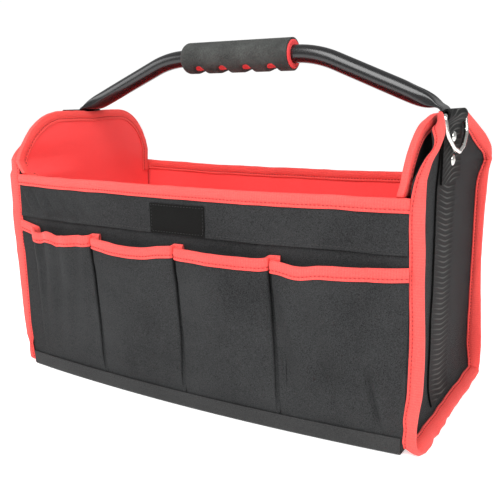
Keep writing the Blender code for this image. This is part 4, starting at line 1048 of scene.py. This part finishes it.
def lean(p):
    """How an inner panel has settled: pressed down a little by the handle, its front corner over the front
    wall's edge, its back edge straight down, and at the right end leaning out with its corner drawn in."""
    x, y = p.x, p.y
    high = ease(0.235, 0.256, p.z)
    z = p.z - 0.0010 * (1 - ease(0.004, 0.024, abs(y))) * high + (0.0013 if x < 0 else -0.0003) * high
    edge = min(abs(y) / 0.0915, 1.0) ** 3
    if y < 0:
        y -= 0.0050 * edge * ease(0.1980, 0.1993, p.z) * (1 - min(max((p.z - 0.200) / 0.011, 0), 1))
        out = ease(0.1975, 0.204, p.z) * ease(0.005, 0.085, -p.y)
        if x > 0:
            x += 0.0040 * out
            y *= 1 - 0.020 * out * ease(0.205, 0.235, p.z)
            z -= 0.0064 * ease(0.0, 0.055, -p.y) * ease(0.205, 0.250, p.z)
        else:
            x -= 0.0030 * out + 0.0036 * out * (1 - ease(0.210, 0.232, p.z))
            y -= 0.0032 * out * edge
    else:
        y -= 0.0042 * edge * ease(0.200, 0.211, p.z)
    return Vector((x, y, z))


outline = inner_outline()
for end, word in ((-1, "left"), (1, "right")):
    x = INNER_FACE
    for layer, name, finish, depth, sense in (
        ("panel", "panel_cloth", black_cloth, CLOTH, 1), ("board", "stiffener", board, BOARD, 0),
        ("lining", "lining_cloth", red_lining, LINING, -1),
    ):
        def surface(offset, end=end, x=x, sense=sense):
            def place(share, index):
                y, z = outline[index]
                y *= share
                soft = 0.0005 * ripple(y * 30, z * 24, end * 2) * (1 - abs(share) ** 4)
                return Vector((end * (x - offset + sense * max(sense * soft, 0)), y, z))
            return place

        sheet_mesh = cut_sheet(even(16), list(range(len(outline) - 1)), surface(0), surface(depth), settle=lean)
        piece = put(f"{word}_inner_{name}", sheet_mesh, finish, [f"{word}_inner_end_{layer}"], 60)
        x -= depth + SEAT_GAP
    half = [p for p in outline if p[1] >= INNER_TAPE_FOOT - 1e-6]
    path = half + [(-y, z) for y, z in reversed(half[:-1])]
    rings, outside, inside = [], [], []
    for k, (y, z) in enumerate(path):
        ahead = Vector(path[min(k + 1, len(path) - 1)]) - Vector(path[max(k - 1, 0)])
        out = Vector((ahead.y, -ahead.x)).normalized()
        foot = BINDING - TAPE_WIDTH + 0.0004 * ripple(k * 0.35, end, 8.0)
        stitch = foot + INNER_STITCH_IN
        puff = TAPE_PUFF + 0.0003 * ripple(k * 0.9, end, 3.0)
        section = tape_profile(-WALL_STACK, 0, 0.0003 * ripple(k * 0.5, end, 1.0), foot, stitch, puff)
        section += [(BINDING, stitch), (-WALL_STACK - BINDING, stitch)]
        *ring, on_face, on_back = (Vector((end * (INNER_FACE + across), y + out.x * along, z + out.y * along))
                                   for across, along in section)
        rings.append(ring)
        outside.append(on_face)
        inside.append(on_back)
    rows = ((word + "_inner_stitches_outer", outside, OUTWARD * end),
            (word + "_inner_stitches_inner", inside, OUTWARD * -end))
    piece, sewn = bind(word + "_inner_tape", word + "_inner_end_binding", rings, rows, lean)
    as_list(sewn)

# End straps: one length of black herringbone webbing up each end, over the ring's bar and back down
# on itself, held by two rivets. A row of stitches runs along each of its edges.
WEB_WIDTH = 0.054
WEB_THICKNESS = 0.0014
WEB_BEND = 0.003
WEB_CROWN = 0.0014
WEB_STRAY = 0.0070
WEB_STITCH_IN = 0.0022
WEB_STITCH_LENGTH = 0.0026
WEB_STITCH_PITCH = 0.0040
RING_HEIGHT = 0.2545
FRONT_PLY = END_FACE + 2 * SEAT_GAP + 1.5 * WEB_THICKNESS
BAR_CENTRE = END_FACE + SEAT_GAP + WEB_THICKNESS / 2 + WEB_BEND
webbing = Finish("herringbone_webbing", "webbing")
along, across = webbing.cloth_map()
centre = webbing.calc("SMOOTH_MAX", webbing.calc("SUBTRACT", WEB_WIDTH * 0.55, across), 0.0, 0.012)
slant = webbing.calc("SUBTRACT", along, webbing.times(centre, 0.30))
# Painted highlight and shade: each rib's crest is painted bright, brightest in the strap's middle and fading to painted
# shade at both its edges.
middle = webbing.wave(across, math.pi / WEB_WIDTH)
rows_wave = webbing.wave(slant, math.tau / 0.0045)
rib = webbing.calc("POWER", webbing.calc("MULTIPLY_ADD", rows_wave, 0.5, 0.5), 4.0)
painted_rib_highlight = webbing.times(rib, webbing.calc("POWER", middle, 1.6))
yarn = webbing.wave(across, math.tau / 0.0011)
fibre, broad = webbing.cloudy(1100.0, 3.0, 0.7), webbing.cloudy(40.0)
# The light end of this ramp is the painted rib highlight. Fibre and broad give the webbing's own uneven tone.
tone = webbing.weigh((painted_rib_highlight, 0.50), (fibre, 0.30), (broad, 0.25))
webbing.surface(webbing.shades(tone, 0.32, (0.002, 0.002, 0.002), 1.0, (0.10, 0.10, 0.095)),
                webbing.calc("MULTIPLY_ADD", fibre, 0.2, 0.55), Specular_IOR_Level=0.12, Sheen_Weight=0.01)
webbing.bump(webbing.calc("MULTIPLY_ADD", yarn, 0.12, rib), 0.8, 0.0004)


def bisector(line, k):
    """The step that moves both neighbours of a line's point one unit to the left."""
    count = len(line)
    normals = []
    for a, b in ((max(k - 1, 0), max(k, 1)), (min(k, count - 2), min(k + 1, count - 1))):
        d = Vector(line[b]) - Vector(line[a])
        normals.append(Vector((-d.y, d.x)).normalized())
    return (normals[0] + normals[1]) / (1.0 + normals[0].dot(normals[1]))


climb = [(END_FACE + FLARE * flare(z), z) for z in finer([0.015, 0.022, FLARE_HEIGHT, RING_HEIGHT], 0.004)]
web_line = [tuple(Vector(p) - bisector(climb, k) * (SEAT_GAP + WEB_THICKNESS / 2)) for k, p in enumerate(climb)][:-1]
for a in arc(math.pi, math.radians(-40), 20):
    bend = WEB_BEND + WEB_CROWN * max(math.sin(a), 0.0)
    web_line.append((BAR_CENTRE + WEB_BEND * math.cos(a), RING_HEIGHT + bend * math.sin(a)))
web_line += [(FRONT_PLY, z) for z in finer([0.2473, 0.2005], 0.003)]
web_steps = [bisector(web_line, k) for k in range(len(web_line))]


def strayed(z, index):
    """How far towards the front the webbing was sewn, below its fold."""
    return WEB_STRAY * (1 - ease(0.192, 0.232, z)) if index < len(climb) else 0.0


for end, word in ((-1, "left"), (1, "right")):
    def surface(offset, end=end):
        def place(index, y):
            (x, z), step = web_line[index], web_steps[index]
            return Vector((end * (x + step.x * offset), y - strayed(z, index), z + step.y * offset))
        return place

    half = WEB_WIDTH / 2
    face = surface(-WEB_THICKNESS / 2)
    strap = cut_sheet(list(range(len(web_line))), finer([-half, half], 0.0036), surface(WEB_THICKNESS / 2), face)
    piece = put(word + "_strap_webbing", strap, webbing, [word + "_end_strap"], 60)
    for name, y in (("front", -half + WEB_STITCH_IN), ("back", half - WEB_STITCH_IN)):
        line = [face(k, y) for k, (x, z) in enumerate(web_line) if z < 0.196 and k < len(climb)]
        sew(f"{word}_strap_stitches_{name}", line, OUTWARD * end, black_thread, LABEL_STITCH,
                             WEB_STITCH_LENGTH, WEB_STITCH_PITCH)

# Rings and rivets: bent nickel-plated wire with a straight bar through the webbing's fold, and two
# domed rivets through webbing, panel and the handle's pressed leg.
RING_WIRE = 0.002
RING_LEAN_REACH = 0.0115
RING_CORNERS = ((-0.0312, 0), (0.0312, 0), (0.0296, 0.0152), (0.0150, 0.0258), (0, 0.0298), (-0.0150, 0.0258),
                (-0.0296, 0.0152))
RING_RADII = (0.0037, 0.0037, 0.0090, 0.0100, 0.0060, 0.0100, 0.0090)
RIVET_HEAD_RADIUS = 0.0047
RIVET_HEAD = 0.0018
RIVET_RADIUS = 0.002
RIVET_HEIGHTS = (("upper", 0.237), ("lower", 0.2183))
SET_HEAD_RADIUS = 0.0034
SET_HEAD = 0.0008
HEAD_EDGE = 0.0002
nickel = Finish("bright_nickel", "nickel")
haze, scratch = nickel.cloudy(180.0, 4.0, 0.6), nickel.cloudy(1500.0, 2.0, 0.8)
nickel.surface(nickel.shades(haze, 0.3, (0.62, 0.61, 0.58), 0.7, (0.86, 0.85, 0.82)),
               nickel.calc("MULTIPLY_ADD", scratch, 0.16, 0.10), Metallic=1.0)
nickel.bump(scratch, 0.08, 0.0001)


def rounded(corners, radii, steps):
    """A closed flat line whose corners are replaced by arcs."""
    line = []
    for index, (corner, radius) in enumerate(zip(corners, radii)):
        here = Vector(corner)
        before = (Vector(corners[index - 1]) - here).normalized()
        after = (Vector(corners[(index + 1) % len(corners)]) - here).normalized()
        half = before.angle(after) / 2
        middle = here + (before + after).normalized() * radius / math.sin(half)
        first, last = (here + way * radius / math.tan(half) - middle for way in (before, after))
        sweep = first.angle(last)
        for share in arc(0, 1, steps):
            bulge = (first * math.sin((1 - share) * sweep) + last * math.sin(share * sweep)) / math.sin(sweep)
            line.append(middle + bulge)
    return line


def bent_wire(path, radius, place):
    """A round wire along a closed flat path: rings of edges bridged from point to point."""
    mesh = bmesh.new()
    loops = []
    for k, point in enumerate(path):
        t = (path[(k + 1) % len(path)] - path[k - 1]).normalized()
        away = Vector((t.y, -t.x))
        points = [place(point + away * radius * math.cos(a), radius * math.sin(a)) for a in arc(0, math.tau, 20)[:-1]]
        verts = [mesh.verts.new(p) for p in points]
        loops.append([mesh.edges.new(pair) for pair in zip(verts, verts[1:] + verts[:1])])
    for a, b in zip(loops, loops[1:] + loops[:1]):
        bmesh.ops.bridge_loops(mesh, edges=a + b)
    return mesh


def spun(points, centre, steps):
    """A profile turned round a level axis at a height."""
    mesh = bmesh.new()
    verts = [mesh.verts.new((x, 0, centre + r)) for x, r in points]
    edges = [mesh.edges.new(pair) for pair in zip(verts, verts[1:])]
    bmesh.ops.spin(mesh, geom=verts + edges, cent=(0, 0, centre), axis=(1, 0, 0), angle=math.tau, steps=steps,
                   use_merge=True, use_duplicate=False)
    bmesh.ops.remove_doubles(mesh, verts=mesh.verts[:], dist=0.000005)
    return mesh


ring_path = rounded(RING_CORNERS, RING_RADII, 7)
ring_lean = math.asin((FRONT_PLY + WEB_THICKNESS / 2 + SEAT_GAP + RING_WIRE - BAR_CENTRE) / RING_LEAN_REACH)
for end, word in ((-1, "left"), (1, "right")):
    def hang(flat, out, end=end):
        x = math.sin(ring_lean) * flat.y + math.cos(ring_lean) * out
        z = math.sin(ring_lean) * out - math.cos(ring_lean) * flat.y
        return Vector((end * (BAR_CENTRE + x), flat.x, RING_HEIGHT + z))

    put(word + "_wire_ring", bent_wire(ring_path, RING_WIRE, hang), nickel, [word + "_ring"], 80, word + "_ring_body")
    face_x = FRONT_PLY + WEB_THICKNESS / 2 + SEAT_GAP
    back_x = LEG_FACE - LEG_THICKNESS - SEAT_GAP
    profile = [(face_x + RIVET_HEAD * math.cos(a), RIVET_HEAD_RADIUS * math.sin(a))
               for a in arc(0, math.radians(80), 8)]
    profile += [
        (face_x + HEAD_EDGE, RIVET_HEAD_RADIUS), (face_x, RIVET_HEAD_RADIUS - HEAD_EDGE), (face_x, RIVET_RADIUS),
        (back_x, RIVET_RADIUS), (back_x, SET_HEAD_RADIUS), (back_x - SET_HEAD, SET_HEAD_RADIUS - HEAD_EDGE),
        (back_x - SET_HEAD, 0.0),
    ]
    for step, height in RIVET_HEIGHTS:
        turned = spun([(end * x, r) for x, r in profile], height, 36)
        put(f"{word}_{step}_domed_rivet", turned, nickel, [f"{word}_{step}_rivet"], 35)

# Handle: steel tube, bent at two places and pressed flat at both ends, with gloss black enamel.
TUBE_RADIUS = 0.008
TUBE_HEIGHT = 0.3075
TUBE_FLAT_HALF = 0.060
TUBE_BEND = 0.100
TUBE_SLOPE = math.radians(22.5)
TUBE_SIDES = 48
PRESS_START = 0.155
PRESS_END = 0.190
PRESS_CREASE = 0.0026
LEG_BEND = 0.007
LEG_WIDTH = 0.0235
LEG_FOOT = 0.2088
LEG_CENTRE = LEG_FACE - LEG_THICKNESS / 2
enamel = Finish("gloss_black_enamel", "black_tube")
orange_peel, dust = enamel.cloudy(220.0, 2.0, 0.5), enamel.cloudy(700.0, 4.0, 0.7)
enamel.surface(enamel.shades(dust, 0.35, (0.004, 0.004, 0.0045), 0.75, (0.010, 0.010, 0.011)),
               enamel.calc("MULTIPLY_ADD", dust, 0.08, 0.22), Specular_IOR_Level=0.5, Coat_Weight=0.2,
               Coat_Roughness=0.15)
enamel.bump(orange_peel, 0.12, 0.0003)


def tube_path():
    """The right half of the handle's middle line, as (x, z, heading below level) from the centre."""
    path = [(TUBE_FLAT_HALF * k / 8, TUBE_HEIGHT, 0.0) for k in range(8)]
    for turn in arc(0, TUBE_SLOPE, 16):
        fall = TUBE_BEND * (1.0 - math.cos(turn))
        path.append((TUBE_FLAT_HALF + TUBE_BEND * math.sin(turn), TUBE_HEIGHT - fall, turn))
    x, z, _ = path[-1]
    bend_start = LEG_CENTRE - LEG_BEND * (1.0 - math.sin(TUBE_SLOPE))
    path += [(here, z - (here - x) * math.tan(TUBE_SLOPE), TUBE_SLOPE) for here in arc(x, bend_start, 40)[1:-1]]
    centre_x = LEG_CENTRE - LEG_BEND
    centre_z = z - (bend_start - x) * math.tan(TUBE_SLOPE) - LEG_BEND * math.cos(TUBE_SLOPE)
    for turn in arc(TUBE_SLOPE, math.pi / 2, 10):
        path.append((centre_x + LEG_BEND * math.sin(turn), centre_z + LEG_BEND * math.cos(turn), turn))
    return path + [(LEG_CENTRE, z, math.pi / 2) for z in arc(path[-1][1], LEG_FOOT, 6)[1:]]


def tube_ring(x, z, heading, end):
    """The tube's section at one place: round along the top, pressed flat at the leg with a crease on its upper side."""
    press = min(max((x - PRESS_START) / (PRESS_END - PRESS_START), 0.0), 1.0)
    half_width = TUBE_RADIUS + (LEG_WIDTH / 2 - TUBE_RADIUS) * press ** 3
    half_depth = TUBE_RADIUS + (LEG_THICKNESS / 2 - TUBE_RADIUS) * press ** 4
    square = 2.0 / (2.0 + 5.0 * press ** 4)
    fold = PRESS_CREASE * ease(0.156, 0.178, x) * (1.0 - ease(0.183, 0.1925, x))
    ring = []
    for k in range(TUBE_SIDES):
        angle = math.tau * (k + 0.5) / TUBE_SIDES
        c, s = math.cos(angle), math.sin(angle)
        y = half_width * math.copysign(abs(c) ** square, c)
        lift = half_depth * math.copysign(abs(s) ** square, s)
        if s > 0:
            lift -= fold * (1.0 - min(abs(y) / (half_width * 0.55), 1.0)) ** 1.4
        ring.append(Vector((end * (x + math.sin(heading) * lift), y, z + math.cos(heading) * lift)))
    return ring


handle_path = tube_path()
handle_rings = [tube_ring(*s, -1) for s in reversed(handle_path[1:])] + [tube_ring(*s, 1) for s in handle_path]
put("handle_enamelled_tube", run_tape(handle_rings, Vector), enamel, ["handle_tube"], 50)

# Grip: two layers of foam slid on the tube, grey over red. Four finger notches are ground a little
# slantwise through the grey into the red, which also ends in a lip with a broken edge at the right.
GRIP_FIRST = -0.060
GRIP_LAST = 0.058
GRIP_MIDDLE = -0.001
GRIP_RADIUS = 0.0146
GRIP_ROUND = 0.006
LINER_RADIUS = 0.0118
NOTCH_COUNT = 4
NOTCH_PITCH = 0.026
NOTCH_RADIUS = 0.0072
NOTCH_FLOOR = 0.0094
NOTCH_TILT = math.radians(10.0)
LIP_LENGTH = 0.0014
LIP_RADIUS = 0.0128
LIP_EDGE = 0.0007
LIP_DROP = 0.0008


def foam_finish(name, slot, dark, light, grain):
    finish = Finish(name, slot)
    cells, bloom = finish.cloudy(grain, 3.0, 0.75), finish.cloudy(55.0, 5.0, 0.65)
    tone = finish.weigh((cells, 0.55), (bloom, 0.45))
    finish.surface(finish.shades(tone, 0.30, dark, 0.72, light), finish.calc("MULTIPLY_ADD", bloom, 0.2, 0.72),
                   Specular_IOR_Level=0.12, Sheen_Weight=0.05)
    finish.bump(cells, 0.6, 0.0003)
    return finish


def along_x(start, stop, radius, step=0.002):
    """Points of a straight run of a profile, close enough together for an even ground surface."""
    return [(x, radius) for x in finer([start, stop], step)]


grey_foam = foam_finish("grey_foam", "grey_foam", (0.008, 0.0085, 0.008), (0.080, 0.083, 0.079), 1000.0)
red_foam = foam_finish("red_foam", "red_rubber", (0.62, 0.035, 0.040), (0.85, 0.085, 0.085), 1600.0)
bore = TUBE_RADIUS + SEAT_GAP
shell_end = GRIP_LAST - LIP_LENGTH
inner_start = GRIP_FIRST + GRIP_ROUND
seat = LINER_RADIUS + SEAT_GAP
foam = [(inner_start, bore), (GRIP_FIRST, bore)]
foam += [(inner_start - GRIP_ROUND * math.cos(a), GRIP_RADIUS - GRIP_ROUND + GRIP_ROUND * math.sin(a))
         for a in arc(0, math.pi / 2, 8)]
foam += along_x(inner_start + 0.002, shell_end, GRIP_RADIUS) + [(shell_end, seat), (inner_start, seat)]
lip = shell_end + SEAT_GAP
core = [(inner_start + SEAT_GAP, bore)] + along_x(inner_start + SEAT_GAP, lip, LINER_RADIUS)
core += [(lip, LIP_RADIUS), (GRIP_LAST - LIP_EDGE, LIP_RADIUS), (GRIP_LAST, LIP_RADIUS - LIP_DROP), (GRIP_LAST, bore)]
notches = bmesh.new()
down, sink = Vector((0, -math.sin(NOTCH_TILT), -math.cos(NOTCH_TILT))), NOTCH_FLOOR + NOTCH_RADIUS
turn = Vector((0, math.cos(NOTCH_TILT), -math.sin(NOTCH_TILT))).to_track_quat("Z", "X").to_matrix().to_4x4()
for k in range(NOTCH_COUNT):
    middle = Vector((GRIP_MIDDLE + NOTCH_PITCH * (k - (NOTCH_COUNT - 1) / 2), 0, TUBE_HEIGHT)) + down * sink
    bmesh.ops.create_cone(notches, cap_ends=True, segments=72, radius1=NOTCH_RADIUS, radius2=NOTCH_RADIUS,
                          depth=4 * GRIP_RADIUS, matrix=Matrix.Translation(middle) @ turn)
grinder = added("notch_grinder", data_of("notch_grinder", notches))
for name, profile, finish, node in (
    ("grip_grey_foam", foam, grey_foam, "grip_foam"), ("grip_red_foam", core, red_foam, "grip_liner"),
):
    mesh = spun(profile + profile[:1], TUBE_HEIGHT, 64)
    bmesh.ops.recalc_face_normals(mesh, faces=mesh.faces[:])
    blank = added(name + "_blank", data_of(name, mesh))
    cut = blank.modifiers.new("notches", "BOOLEAN")
    cut.operation = "DIFFERENCE"
    cut.solver = "EXACT"
    cut.object = grinder
    bpy.context.view_layer.update()
    ground_down = bmesh.new()
    ground_down.from_mesh(blank.evaluated_get(bpy.context.evaluated_depsgraph_get()).data)
    bpy.data.objects.remove(blank)
    piece = put(name, ground_down, finish, [node], 38)
bpy.data.objects.remove(grinder)
